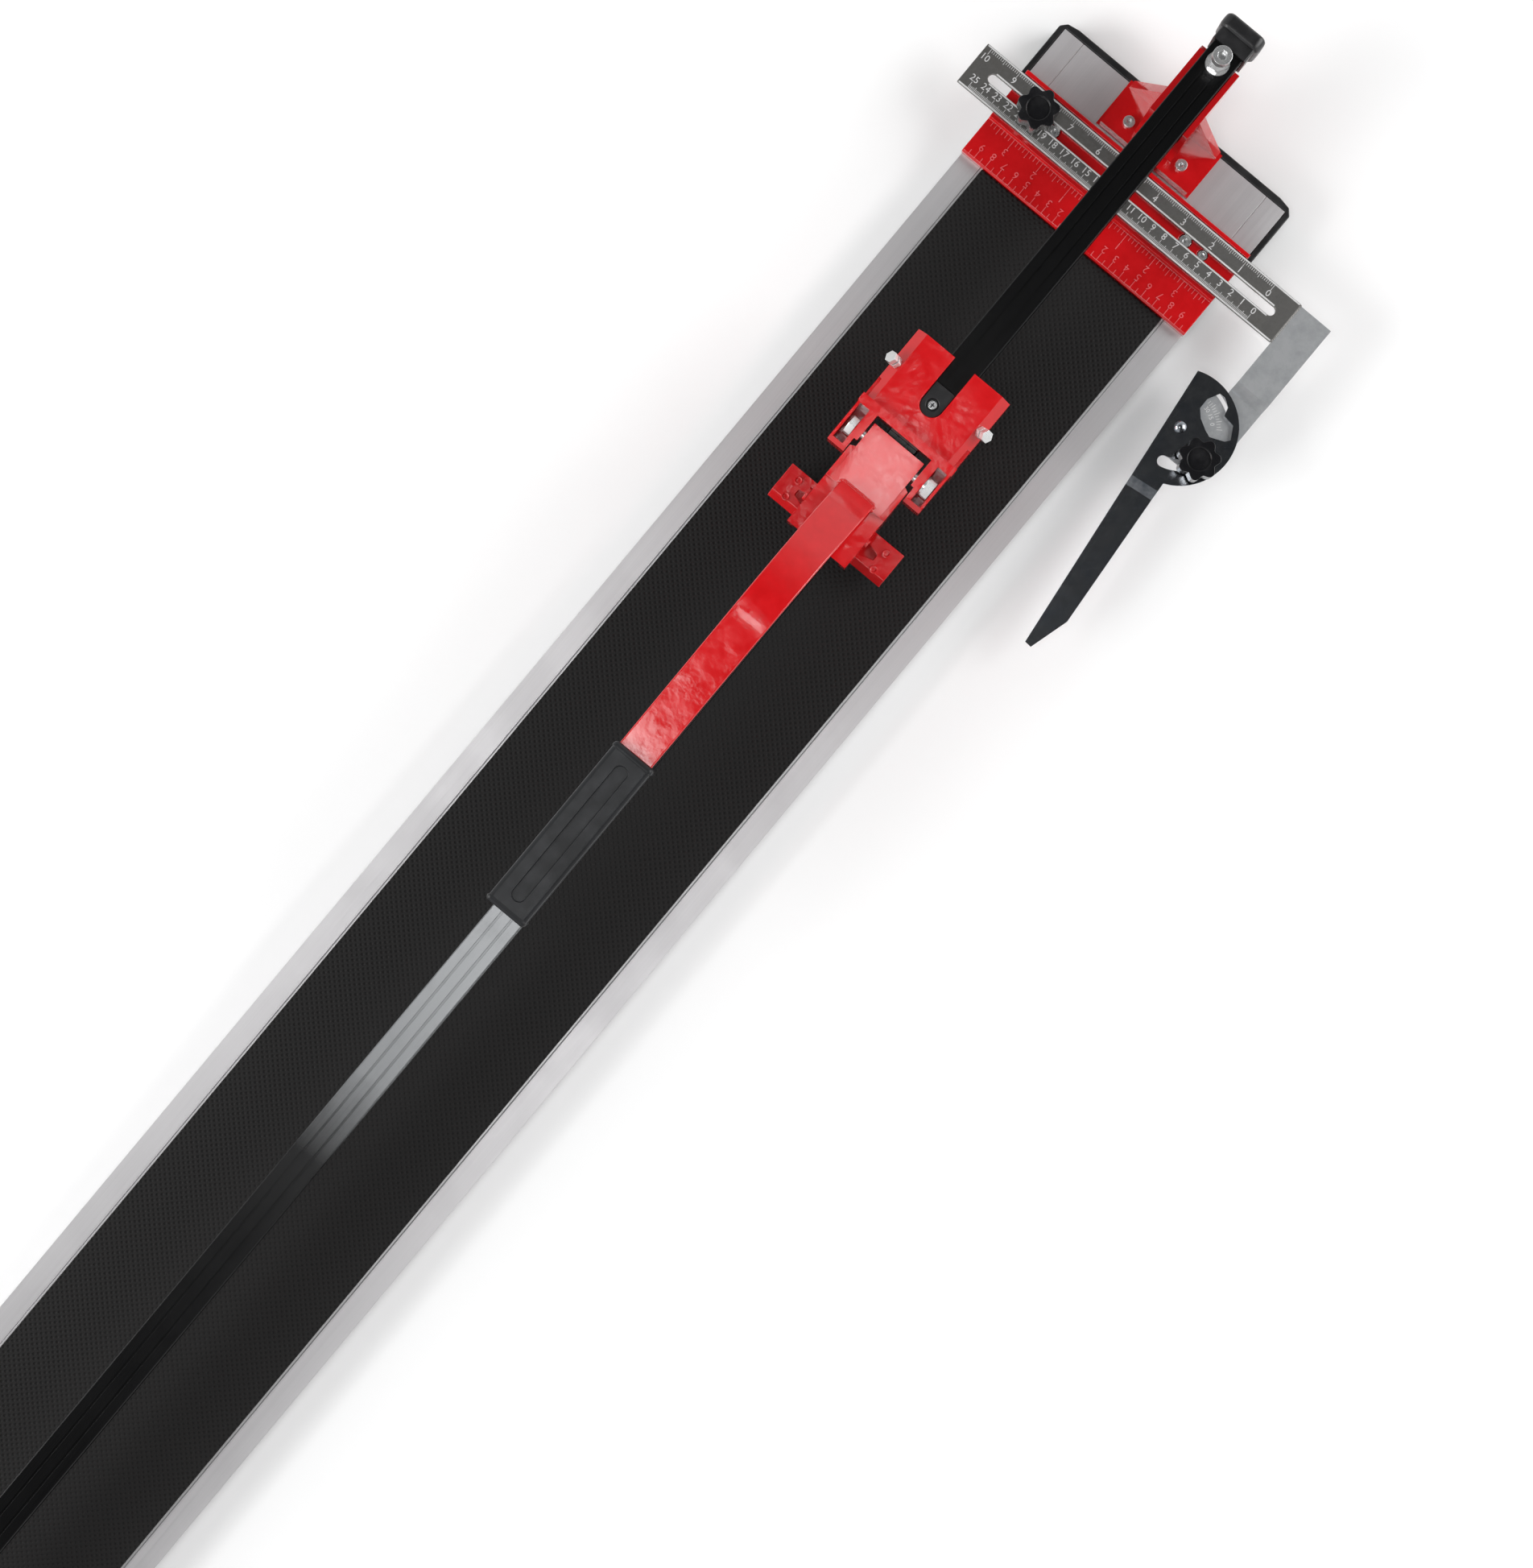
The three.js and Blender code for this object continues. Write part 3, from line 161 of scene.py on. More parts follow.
class Recipe:
    """A material under construction: one Principled shader and what feeds it."""

    def __init__(self, name: str) -> None:
        """Starts an empty material of that name."""
        self.material = bpy.data.materials.new(name)
        self.material.use_nodes = True
        self.tree = self.material.node_tree
        self.tree.nodes.clear()
        self.shader = self.node("ShaderNodeBsdfPrincipled")
        output = self.node("ShaderNodeOutputMaterial")
        self.tree.links.new(self.shader.outputs[0], output.inputs[0])
        self.place = self.node("ShaderNodeTexCoord").outputs["Object"]

    def node(
        self, kind: str, settings: dict[str, Any] | None = None, inputs: dict[Any, Any] | None = None
    ) -> Any:
        """Adds a node, its settings first and then its sockets.

        Args:
            kind: the node's type.
            settings: attributes to set, such as an operation, or a ramp's stops as (place, colour).
            inputs: values or links, by socket name or number.

        Returns:
            The node.
        """
        made = self.tree.nodes.new(kind)
        for key, value in (settings or {}).items():
            if key == "stops":
                self._set_stops(made.color_ramp, value)
            else:
                setattr(made, key, value)
        for key, value in (inputs or {}).items():
            if isinstance(value, Num):
                self.tree.links.new(value.socket, made.inputs[key])
            elif isinstance(value, bpy.types.NodeSocket):
                self.tree.links.new(value, made.inputs[key])
            else:
                made.inputs[key].default_value = value
        return made

    @staticmethod
    def _set_stops(ramp: Any, stops: Sequence[tuple[float, Colour]]) -> None:
        """Gives a ramp its stops."""
        while len(ramp.elements) < len(stops):
            ramp.elements.new(0.5)
        for element, (place, colour) in zip(ramp.elements, stops):
            element.position = place
            element.color = (*colour, 1.0)

    def num(self, socket: Any) -> Num:
        """A socket as a number that operators act on."""
        return Num(self.tree, socket)

    def stretched(self, scale: Point, turn_deg: float = 0.0) -> Any:
        """Object coordinates, turned about Z and scaled along each axis."""
        mapping = self.node(
            "ShaderNodeMapping",
            {"vector_type": "POINT"},
            {"Vector": self.place, "Rotation": (0.0, 0.0, math.radians(turn_deg)), "Scale": scale},
        )
        return mapping.outputs[0]

    def noise(self, scale: float, detail: float = 3.0, rough: float = 0.5, vector: Any = None) -> Num:
        """Noise of so many waves a metre."""
        made = self.node(
            "ShaderNodeTexNoise",
            {},
            {"Vector": vector or self.place, "Scale": scale, "Detail": detail, "Roughness": rough},
        )
        return self.num(made.outputs[0])

    def axes(self, vector: Any = None) -> tuple[Num, Num, Num]:
        """The three coordinates of a vector, or of the place on the piece."""
        made = self.node("ShaderNodeSeparateXYZ", {}, {0: vector or self.place})
        return tuple(self.num(made.outputs[i]) for i in range(3))

    def mix(self, share: Num, low: Any, high: Any) -> Any:
        """A colour from low to high.

        Args:
            share: 0 gives low and 1 gives high.
            low: a colour or a colour socket.
            high: a colour or a colour socket.

        Returns:
            The mixed colour's socket.
        """
        made = self.node("ShaderNodeMix", {"data_type": "RGBA"}, {0: share})
        for place, colour in ((6, low), (7, high)):
            if isinstance(colour, tuple):
                made.inputs[place].default_value = (*colour, 1.0)
            else:
                self.tree.links.new(colour, made.inputs[place])
        return made.outputs[2]

    def relief(self, height: Num, depth: float, strength: float = 1.0) -> None:
        """Raises the surface by a height of 0 to 1 over that depth in metres."""
        bump = self.node(
            "ShaderNodeBump", {}, {"Strength": strength, "Distance": depth, "Height": height}
        )
        self.tree.links.new(bump.outputs[0], self.shader.inputs["Normal"])

    def feed(self, **values: Any) -> None:
        """Sets or links the shader's sockets: underscores in a name stand for spaces."""
        names = {key.lower().replace(" ", "_"): key for key in self.shader.inputs.keys()}
        for key, value in values.items():
            socket = self.shader.inputs[names[key]]
            if isinstance(value, Num):
                self.tree.links.new(value.socket, socket)
            elif isinstance(value, bpy.types.NodeSocket):
                self.tree.links.new(value, socket)
            elif isinstance(value, tuple) and len(value) == 3 and socket.type == "RGBA":
                socket.default_value = (*value, 1.0)
            else:
                socket.default_value = value


# ---------------------------------------------------------------- finishes


@dataclass(frozen=True)
class RedPaint:
    """Thick glossy red paint over a rough casting, with orange peel."""

    name: str = "red_paint"
    colour: Colour = (0.60, 0.006, 0.009)
    shade: Colour = (0.52, 0.005, 0.007)
    peel: float = 260.0
    depth: float = 0.00022
    gloss: float = 0.10

    def make(self) -> bpy.types.Material:
        """Returns the material."""
        r = Recipe(self.name)
        peel = r.noise(self.peel, 2.0, 0.45)
        sag = r.noise(38.0, 2.0, 0.5)
        grit = r.noise(1500.0, 2.0, 0.6)
        wear = r.noise(90.0, 4.0, 0.65).over(0.35, 0.75)
        r.feed(
            base_color=r.mix(wear, self.shade, self.colour),
            roughness=wear * 0.12 + grit * 0.05 + self.gloss - 0.04,
            metallic=0.0,
            coat_weight=0.5,
            coat_roughness=0.04,
            ior=1.5,
        )
        r.relief(peel * 0.5 + sag * 3.2 + grit * 0.05, self.depth, 0.8)
        return r.material


@dataclass(frozen=True)
class DrawnAluminium:
    """Satin extruded aluminium with fine draw lines along its length."""

    name: str = "drawn_aluminium"
    colour: Colour = (0.60, 0.59, 0.60)
    dark: Colour = (0.52, 0.51, 0.52)

    def make(self) -> bpy.types.Material:
        """Returns the material."""
        r = Recipe(self.name)
        lines = r.noise(1.0, 4.0, 0.7, r.stretched((6.0, 1900.0, 1900.0)))
        broad = r.noise(1.0, 3.0, 0.5, r.stretched((1.5, 120.0, 120.0)))
        smudge = r.noise(14.0, 4.0, 0.6).over(0.42, 0.72)
        tone = (lines * 0.5 + broad * 0.5).over(0.3, 0.7)
        r.feed(
            base_color=r.mix(tone, self.dark, self.colour),
            roughness=lines * 0.16 + smudge * 0.08 + 0.3,
            metallic=0.58,
        )
        r.relief(lines, 0.00003, 0.5)
        return r.material


@dataclass(frozen=True)
class DimpledRubber:
    """Near-black foam rubber with a close diagonal grid of round dimples, their hollows painted darker as
    painted shade.
    """

    name: str = "dimpled_rubber"
    colour: Colour = (0.0105, 0.0098, 0.0098)
    hollow: Colour = (0.0045, 0.0042, 0.0042)
    pitch: float = 0.0034

    def make(self) -> bpy.types.Material:
        """Returns the material."""
        r = Recipe(self.name)
        x, y, _ = r.axes(r.stretched((1.0 / self.pitch, 1.0 / self.pitch, 1.0), 45.0))
        u = x.math("FRACT") - 0.5
        v = y.math("FRACT") - 0.5
        away = (u * u + v * v) ** 0.5
        dimple = away.over(0.16, 0.36)
        dust = r.noise(600.0, 3.0, 0.6)
        cloud = r.noise(9.0, 3.0, 0.5)
        # Painted shade: the dimples' hollows take the darker colour; the cloud noise is random tone.
        tone = dimple * (cloud * 0.5 + 0.6)
        r.feed(
            base_color=r.mix(tone, self.hollow, self.colour),
            roughness=dust * 0.16 + 0.6 - dimple * 0.06,
            specular_ior_level=0.22,
        )
        r.relief(dimple + dust * 0.15, 0.0005, 0.8)
        return r.material


@dataclass(frozen=True)
class SoftRubber:
    """Moulded soft rubber with a fine matt grain."""

    name: str = "grip_rubber"
    colour: Colour = (0.009, 0.0095, 0.0105)
    sheen: Colour = (0.015, 0.016, 0.018)

    def make(self) -> bpy.types.Material:
        """Returns the material."""
        r = Recipe(self.name)
        grain = r.noise(2600.0, 2.0, 0.5)
        handled = r.noise(60.0, 4.0, 0.6).over(0.4, 0.7)
        r.feed(
            base_color=r.mix(handled, self.colour, self.sheen),
            roughness=grain * 0.12 + 0.34 - handled * 0.06,
            specular_ior_level=0.28,
        )
        r.relief(grain, 0.00006, 0.5)
        return r.material


@dataclass(frozen=True)
class BlackPlastic:
    """Moulded black plastic, satin or glossy by its roughness."""

    name: str = "black_plastic"
    colour: Colour = (0.008, 0.008, 0.009)
    worn: Colour = (0.017, 0.017, 0.018)
    roughness: float = 0.36
    grain: float = 1400.0

    def make(self) -> bpy.types.Material:
        """Returns the material."""
        r = Recipe(self.name)
        grain = r.noise(self.grain, 2.0, 0.5)
        flow = r.noise(70.0, 4.0, 0.6).over(0.45, 0.75)
        r.feed(
            base_color=r.mix(flow, self.colour, self.worn),
            roughness=grain * 0.1 + flow * 0.1 + self.roughness - 0.08,
            specular_ior_level=0.5,
        )
        r.relief(grain + flow * 0.5, 0.00005, 0.45)
        return r.material


@dataclass(frozen=True)
class BlackRail:
    """Black anodised rail, with a painted highlight: a grey, partly metallic band along one stretch of its
    top, standing in for the overhead lamp's reflection.
    """

    name: str = "black_rail"
    colour: Colour = (0.0022, 0.0022, 0.0024)
    rubbed: Colour = (0.16, 0.165, 0.17)
    rub_start: float = -0.18
    rub_full: float = -0.11

    def make(self) -> bpy.types.Material:
        """Returns the material."""
        r = Recipe(self.name)
        lines = r.noise(1.0, 4.0, 0.7, r.stretched((10.0, 1600.0, 1600.0)))
        smear = r.noise(46.0, 5.0, 0.65)
        x, _, _ = r.axes()
        # Painted highlight: the grey band is a painted reflection of the overhead lamp, fading in and out
        # along X.
        stretch = x.over(self.rub_start, self.rub_full) * (1.0 - x.over(0.04, 0.15))
        highlight_band = (stretch * (smear * 0.8 + lines * 0.5 + 0.35)).math("MINIMUM", 1.0)
        r.feed(
            base_color=r.mix(highlight_band, self.colour, self.rubbed),
            roughness=lines * 0.1 + smear * 0.08 + 0.14,
            metallic=highlight_band * 0.35,
            specular_ior_level=0.32,
        )
        r.relief(lines + smear * 0.3, 0.00002, 0.5)
        return r.material


class Polish(Enum):
    """How bright a steel piece is finished."""

    ZINC = "zinc"
    MIRROR = "mirror"
    SATIN = "satin"
    DARK = "dark"
    ETCHED = "etched"


@dataclass(frozen=True)
class Steel:
    """Bare or plated steel with smudges and fine scratches."""

    name: str
    colour: Colour
    smudge: Colour
    roughness: float
    scratch: float = 0.00001
    metallic: float = 1.0
    wear: float = 0.0

    def make(self) -> bpy.types.Material:
        """Returns the material."""
        r = Recipe(self.name)
        across = r.noise(1.0, 3.0, 0.7, r.stretched((2200.0, 90.0, 400.0), 28.0))
        along = r.noise(1.0, 3.0, 0.7, r.stretched((120.0, 2600.0, 400.0), -12.0))
        stain = r.noise(85.0, 5.0, 0.62).over(0.38, 0.68)
        nick = across.over(0.70, 0.76) * r.noise(210.0, 2.0, 0.5).over(0.48, 0.60) * self.wear
        worn = r.mix(stain, self.colour, self.smudge)
        r.feed(
            base_color=r.mix(nick, worn, (0.92, 0.92, 0.92)),
            roughness=across * 0.08 + along * 0.08 + stain * 0.08 + nick * 0.4 + self.roughness,
            metallic=self.metallic,
        )
        r.relief(across + along, self.scratch, 0.6)
        return r.material


STEELS = {
    Polish.ZINC: Steel("zinc_steel", (0.82, 0.83, 0.84), (0.66, 0.66, 0.65), 0.17, 0.00001, 0.90),
    Polish.MIRROR: Steel("polished_steel", (0.46, 0.48, 0.51), (0.17, 0.19, 0.22), 0.02, 0.00003, 1.0, 0.55),
    Polish.SATIN: Steel("satin_steel", (0.42, 0.43, 0.44), (0.30, 0.31, 0.32), 0.34, 0.00001, 0.7),
    Polish.DARK: Steel("ground_steel", (0.28, 0.275, 0.265), (0.19, 0.185, 0.175), 0.26),
    Polish.ETCHED: Steel("etched_marks", (0.80, 0.80, 0.80), (0.62, 0.62, 0.62), 0.34, 0.00001, 0.55),
}


class Finishes:
    """Every finish on the cutter, each made once."""

    def __init__(self) -> None:
        """Makes the materials."""
        self.red = RedPaint().make()
        # Lighter red for the raised scale marks: a painted highlight standing in for the light their edges
        # catch.
        self.marks = RedPaint("highlight_red_paint", (0.80, 0.16, 0.17), (0.68, 0.07, 0.08)).make()
        self.aluminium = DrawnAluminium().make()
        self.pad = DimpledRubber().make()
        self.grip = SoftRubber().make()
        self.plastic = BlackPlastic().make()
        self.knob = BlackPlastic(
            "knob_plastic", (0.006, 0.006, 0.007), (0.013, 0.013, 0.014), 0.2, 500.0
        ).make()
        self.rail = BlackRail().make()
        self.steel = {polish: recipe.make() for polish, recipe in STEELS.items()}


# ---------------------------------------------------------------- modelling helpers


def select_none() -> None:
    """Leaves nothing selected, in object mode."""
    if bpy.context.mode != "OBJECT":
        bpy.ops.object.mode_set(mode="OBJECT")
    bpy.ops.object.select_all(action="DESELECT")


def take(obj: bpy.types.Object) -> None:
    """Makes obj the one selected and active object."""
    select_none()
    obj.select_set(True)
    bpy.context.view_layer.objects.active = obj


def settle(obj: bpy.types.Object, name: str, smooth_deg: float = 32.0) -> bpy.types.Object:
    """Puts a finished piece's place in its mesh and smooths its shading.

    Args:
        obj: the piece.
        name: its name.
        smooth_deg: edges sharper than this stay sharp.

    Returns:
        The piece.
    """
    take(obj)
    bpy.ops.object.transform_apply(location=True, rotation=True, scale=True)
    bpy.ops.object.shade_smooth_by_angle(angle=math.radians(smooth_deg))
    apply_modifier(obj, "WEIGHTED_NORMAL", keep_sharp=True, mode="FACE_AREA")
    obj.name = name
    obj.data.name = name
    return obj


def apply_modifier(obj: bpy.types.Object, kind: str, **settings: Any) -> None:
    """Adds a modifier with its settings and applies it."""
    take(obj)
    modifier = obj.modifiers.new(kind.lower(), kind)
    for key, value in settings.items():
        setattr(modifier, key, value)
    bpy.ops.object.modifier_apply(modifier=modifier.name)


def soften(obj: bpy.types.Object, width: float, segments: int = 2, angle_deg: float = 30.0) -> None:
    """Rounds a piece's sharp edges."""
    apply_modifier(
        obj, "BEVEL", width=width, segments=segments, limit_method="ANGLE",
        angle_limit=math.radians(angle_deg), use_clamp_overlap=True, miter_outer="MITER_ARC",
    )


def clean_copy(node: str, flat_deg: float = 1.0) -> bpy.types.Object:
    """A CAD node's mesh as a new object, its triangles joined into faces.

    Args:
        node: the CAD node.
        flat_deg: faces that meet flatter than this become one.

    Returns:
        The new object.
    """
    select_none()
    made = bpy.data.objects.new(node + "_copy", frame["nodes"][node].data.copy())
    bpy.context.scene.collection.objects.link(made)
    made.data.materials.clear()
    stale = ("custom_normal", "sharp_edge", "sharp_face")
    for attribute in [a for a in made.data.attributes if a.name in stale]:
        made.data.attributes.remove(attribute)
    take(made)
    bpy.ops.object.mode_set(mode="EDIT")
    bpy.ops.mesh.select_all(action="SELECT")
    bpy.ops.mesh.remove_doubles(threshold=2e-6)
    bpy.ops.mesh.dissolve_limited(angle_limit=math.radians(flat_deg))
    bpy.ops.object.mode_set(mode="OBJECT")
    return made


def body_of(node: str) -> str:
    """The body that a CAD node belongs to."""
    return frame["nodes"][node]["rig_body"]


def dress(obj: bpy.types.Object, material: bpy.types.Material, body: str) -> bpy.types.Object:
    """Gives a piece its material and its body, and reports it."""
    obj.data.materials.clear()
    obj.data.materials.append(material)
    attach(obj, body)
    LOG.info("%s: %d faces on %s", obj.name, len(obj.data.polygons), body)
    return obj


def finer(
    node: str,
    material: bpy.types.Material,
    width: float,
    segments: int = 2,
    angle_deg: float = 30.0,
    flat_deg: float = 1.0,
    smooth_deg: float = 32.0,
) -> bpy.types.Object:
    """Stands a copy of a CAD node with rounded edges in the node's place.

    Args:
        node: the CAD node.
        material: its finish.
        width: the width of the rounding, in metres.
        segments: steps across the rounding.
        angle_deg: edges sharper than this are rounded.
        flat_deg: faces that meet flatter than this become one.
        smooth_deg: edges sharper than this stay sharp.

    Returns:
        The piece.
    """
    made = clean_copy(node, flat_deg)
    soften(made, width, segments, angle_deg)
    settle(made, node + "_finished", smooth_deg)
    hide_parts(node)
    return dress(made, material, body_of(node))


def block(low: Point, high: Point) -> bpy.types.Object:
    """A box between two corners, alone selected."""
    select_none()
    centre = [(a + b) / 2 for a, b in zip(low, high)]
    bpy.ops.mesh.primitive_cube_add(size=1.0, location=centre)
    made = bpy.context.object
    made.scale = [b - a for a, b in zip(low, high)]
    bpy.ops.object.transform_apply(location=True, rotation=True, scale=True)
    return made


def joined(parts: Iterable[bpy.types.Object]) -> bpy.types.Object:
    """Several objects as one."""
    found = list(parts)
    select_none()
    for part in found:
        part.select_set(True)
    bpy.context.view_layer.objects.active = found[0]
    bpy.ops.object.join()
    return found[0]


def pick_faces(obj: bpy.types.Object, test: Any) -> int:
    """Selects the faces whose centre and normal pass a test, and leaves edit mode on.

    Args:
        obj: the piece.
        test: a function of the centre and the normal.

    Returns:
        How many faces were selected.
    """
    take(obj)
    bpy.ops.object.mode_set(mode="EDIT")
    bpy.ops.mesh.select_mode(type="FACE")
    bpy.ops.mesh.select_all(action="DESELECT")
    bpy.ops.object.mode_set(mode="OBJECT")
    found = 0
    for face in obj.data.polygons:
        face.select = bool(test(face.center, face.normal))
        found += face.select
    bpy.ops.object.mode_set(mode="EDIT")
    return found


def leave_edit() -> None:
    """Goes back to object mode."""
    bpy.ops.object.mode_set(mode="OBJECT")


@dataclass(frozen=True)
class Lettering:
    """Plain numerals cut from flat text, as thin raised shapes."""

    height: float
    thickness: float = 0.00012
    turn_deg: float = 0.0
    weight: float = 0.0

    def write(self, text: str, place: Point) -> bpy.types.Object:
        """Makes one numeral.

        Args:
            text: what it says.
            place: the middle of its foot.

        Returns:
            The numeral's mesh.
        """
        select_none()
        bpy.ops.object.text_add(location=(0.0, 0.0, 0.0))
        made = bpy.context.object
        made.data.body = text
        made.data.align_x = "CENTER"
        made.data.align_y = "CENTER"
        made.data.size = self.height / 0.7
        made.data.extrude = self.thickness
        made.data.offset = self.weight
        made.data.resolution_u = 3
        bpy.ops.object.convert(target="MESH")
        made = bpy.context.object
        turn = Matrix.Rotation(math.radians(self.turn_deg), 4, "Z")
        made.data.transform(Matrix.Translation(place) @ turn)
        return made


@dataclass(frozen=True)
class Tick:
    """One mark of a ruled scale: a low bar with sloped sides."""

    width: float
    height: float

    def cut(self, low: tuple[float, float], high: tuple[float, float], z: float) -> bpy.types.Object:
        """Makes the mark over a rectangle.

        Args:
            low: its low corner in plan.
            high: its high corner in plan.
            z: the face it stands on.

        Returns:
            The mark's mesh.
        """
        made = block((low[0], low[1], z - 0.0001), (high[0], high[1], z + self.height))
        pick_faces(made, lambda centre, normal: normal.z > 0.9)
        bpy.ops.mesh.inset(thickness=self.width * 0.22, depth=0.0)
        leave_edit()
        return made


# ---------------------------------------------------------------- sub-assemblies


@dataclass
class Bed:
    """The aluminium bed with its end caps, feet, pads and breaking ridge."""

    finishes: Finishes
    edge: float = 0.0009
    pad_edge: float = 0.0007
    groove_shares: tuple[float, ...] = (0.2, 0.35, 0.5, 0.65, 0.8)
    groove_half: float = 0.0012
    groove_depth: float = 0.0012
    seam_rows: tuple[float, ...] = (0.049, 0.064, -0.049, -0.064, 0.0895, -0.0895)
    seam_half: float = 0.0002
    seam_rise: float = 0.00007

    def build(self) -> None:
        """Builds and dresses the bed."""
        finer("bed_extrusion", self.finishes.aluminium, 0.0006, 2)
        for node in ("bed_cap_head", "bed_cap_tail"):
            finer(node, self.finishes.plastic, self.edge, 3)
        for node in ("pad_left", "pad_right"):
            finer(node, self.finishes.pad, self.pad_edge, 3)
        finer("breaking_ridge", self.finishes.steel[Polish.DARK], 0.0004, 2)
        for node in ("foot_head", "foot_middle", "foot_tail"):
            self._foot(node)
        self._seams()

    def _foot(self, node: str) -> None:
        """A rubber strip with grooves along its sole."""
        low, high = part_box(node)
        made = block(low, high)
        grooves = [low.x + (high.x - low.x) * share for share in self.groove_shares]
        take(made)
        bpy.ops.object.mode_set(mode="EDIT")
        for groove in grooves:
            for side in (-1, 1):
                bpy.ops.mesh.select_all(action="SELECT")
                bpy.ops.mesh.bisect(plane_co=(groove + side * self.groove_half, 0, 0), plane_no=(1, 0, 0))
        leave_edit()
        pick_faces(made, lambda c, n: n.z < -0.9 and any(abs(c.x - g) < self.groove_half for g in grooves))
        bpy.ops.mesh.extrude_region_move(TRANSFORM_OT_translate={"value": (0.0, 0.0, self.groove_depth)})
        leave_edit()
        settle(made, node + "_finished")
        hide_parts(node)
        dress(made, self.finishes.grip, body_of(node))

    def _seams(self) -> None:
        """Fine raised draw lines along the bare deck at the head end."""
        low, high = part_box("bed_extrusion")
        lines = []
        for y in self.seam_rows:
            line = block(
                (low.x + 0.0005, y - self.seam_half, high.z - 0.0002),
                (high.x - 0.0005, y + self.seam_half, high.z + self.seam_rise),
            )
            pick_faces(line, lambda centre, normal: normal.z > 0.9)
            bpy.ops.mesh.inset(thickness=0.00008, depth=0.0)
            leave_edit()
            lines.append(line)
        made = settle(joined(lines), "bed_draw_lines")
        dress(made, self.finishes.aluminium, "bed")


@dataclass
class Rail:
    """The rail with its caps, brackets and height screws."""

    finishes: Finishes
    cast_edge: float = 0.0009
    shank: float = 0.00395
    crest: float = 0.0044
    pitch: float = 0.00125
    turns: int = 7

    def build(self) -> None:
        """Builds and dresses the rail and its supports."""
        finer("rail", self.finishes.rail, 0.00035, 2)
        for end in ("head", "tail"):
            finer(f"rail_cap_{end}", self.finishes.plastic, 0.0006, 2)
            finer(f"rail_bracket_{end}", self.finishes.red, self.cast_edge, 3)
            finer(f"height_nut_{end}", self.finishes.steel[Polish.ZINC], 0.0005, 2)
            finer(f"height_screw_{end}", self.finishes.steel[Polish.ZINC], 0.0004, 2)
            self._thread(end)
            for side in ("left", "right"):
                finer(f"bracket_bolt_{side}_{end}", self.finishes.steel[Polish.ZINC], 0.0004, 2)

    def _thread(self, end: str) -> None:
        """The thread that shows between a height screw's nut and its head."""
        nut_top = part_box(f"height_nut_{end}")[1].z
        low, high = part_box(f"height_screw_{end}")
        centre = (low + high) / 2
        thread = Thread(self.shank, self.crest, self.pitch, self.turns)
        made = thread.cut((centre.x, centre.y, nut_top + 0.0002))
        settle(made, f"height_thread_{end}")
        dress(made, self.finishes.steel[Polish.ZINC], "bed")


@dataclass(frozen=True)
class Thread:
    """A screw thread as a ridge wound round a shank."""

    core: float
    crest: float
    pitch: float
    turns: int

    def cut(self, foot: Point) -> bpy.types.Object:
        """Winds the ridge upwards from a foot point on the axis, and returns it."""
        select_none()
        bpy.ops.mesh.primitive_plane_add(size=1.0, location=(0, 0, 0))
        made = bpy.context.object
        half = self.pitch * 0.42
        corners = [(self.core, -half), (self.crest, -half * 0.2), (self.crest, half * 0.2), (self.core, half)]
        for vertex, (r, z) in zip((0, 1, 3, 2), corners):
            made.data.vertices[vertex].co = (r, 0.0, z)
        apply_modifier(
            made, "SCREW", angle=math.tau * self.turns, screw_offset=self.pitch * self.turns,
            steps=18 * self.turns, render_steps=18 * self.turns, axis="Z", use_merge_vertices=True,
            use_normal_calculate=True,
        )
        made.data.transform(Matrix.Translation((foot[0], foot[1], foot[2] + half)))
        return made


@dataclass
class Fence:
    """The ruler casting at the head end, with its raised scales."""

    finishes: Finishes
    cast_edge: float = 0.0007
    rise: float = 0.00035
    numeral: float = 0.0052
    ledge: float = 0.008

    def build(self) -> None:
        """Builds and dresses the casting, its scales and its screws."""
        finer("ruler_casting", self.finishes.red, self.cast_edge, 3)
        for index in (1, 2, 3):
            finer(f"ruler_screw_{index}", self.finishes.steel[Polish.ZINC], 0.0004, 2)
        self._scales()

    def _scales(self) -> None:
        """Centimetre marks and numerals along the pads' side, inch ones behind them."""
        low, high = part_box("ruler_casting")
        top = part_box("bed_extrusion")[1].z + self.ledge
        parts = []
        tick = Tick(0.0006, self.rise)
        near = low.x + 0.0012
        for half_cm in range(-19, 20):
            y = half_cm * 0.005
            length = 0.0060 if half_cm % 2 == 0 else 0.0036
            parts.append(tick.cut((near, y - 0.0003), (near + length, y + 0.0003), top))
        centimetres = Lettering(self.numeral, self.rise, 90.0)
        for cm in range(1, 10):
            for side in (-1, 1):
                parts.append(centimetres.write(str(cm), (low.x + 0.0105, side * cm * 0.01, top)))
        back = low.x + 0.0296
        for eighth in range(-30, 31):
            y = eighth * INCH / 8
            length = 0.0085 if eighth % 8 == 0 else 0.0062 if eighth % 4 == 0 else 0.0042
            parts.append(tick.cut((back - length, y - 0.00025), (back, y + 0.00025), top))
        for whole in range(1, 4):
            for side in (-1, 1):
                parts.append(centimetres.write(str(whole), (low.x + 0.0182, side * whole * INCH, top)))
        parts.append(tick.cut((back, low.y + 0.003), (back + 0.0005, high.y - 0.003), top))
        made = settle(joined(parts), "ruler_scale")
        # The marks take the lighter red, a painted highlight.
        dress(made, self.finishes.marks, "bed")


@dataclass
class Knob:
    """A glossy lobed clamp knob with a dished top, on its stud."""

    node: str
    finishes: Finishes
    stud: str
    lobe_edge: float = 0.0022

    def build(self) -> None:
        """Builds and dresses the knob and its stud."""
        finer(self.node, self.finishes.knob, self.lobe_edge, 4, 40.0, 0.5)
        finer(self.stud, self.finishes.steel[Polish.ZINC], 0.0004, 2)


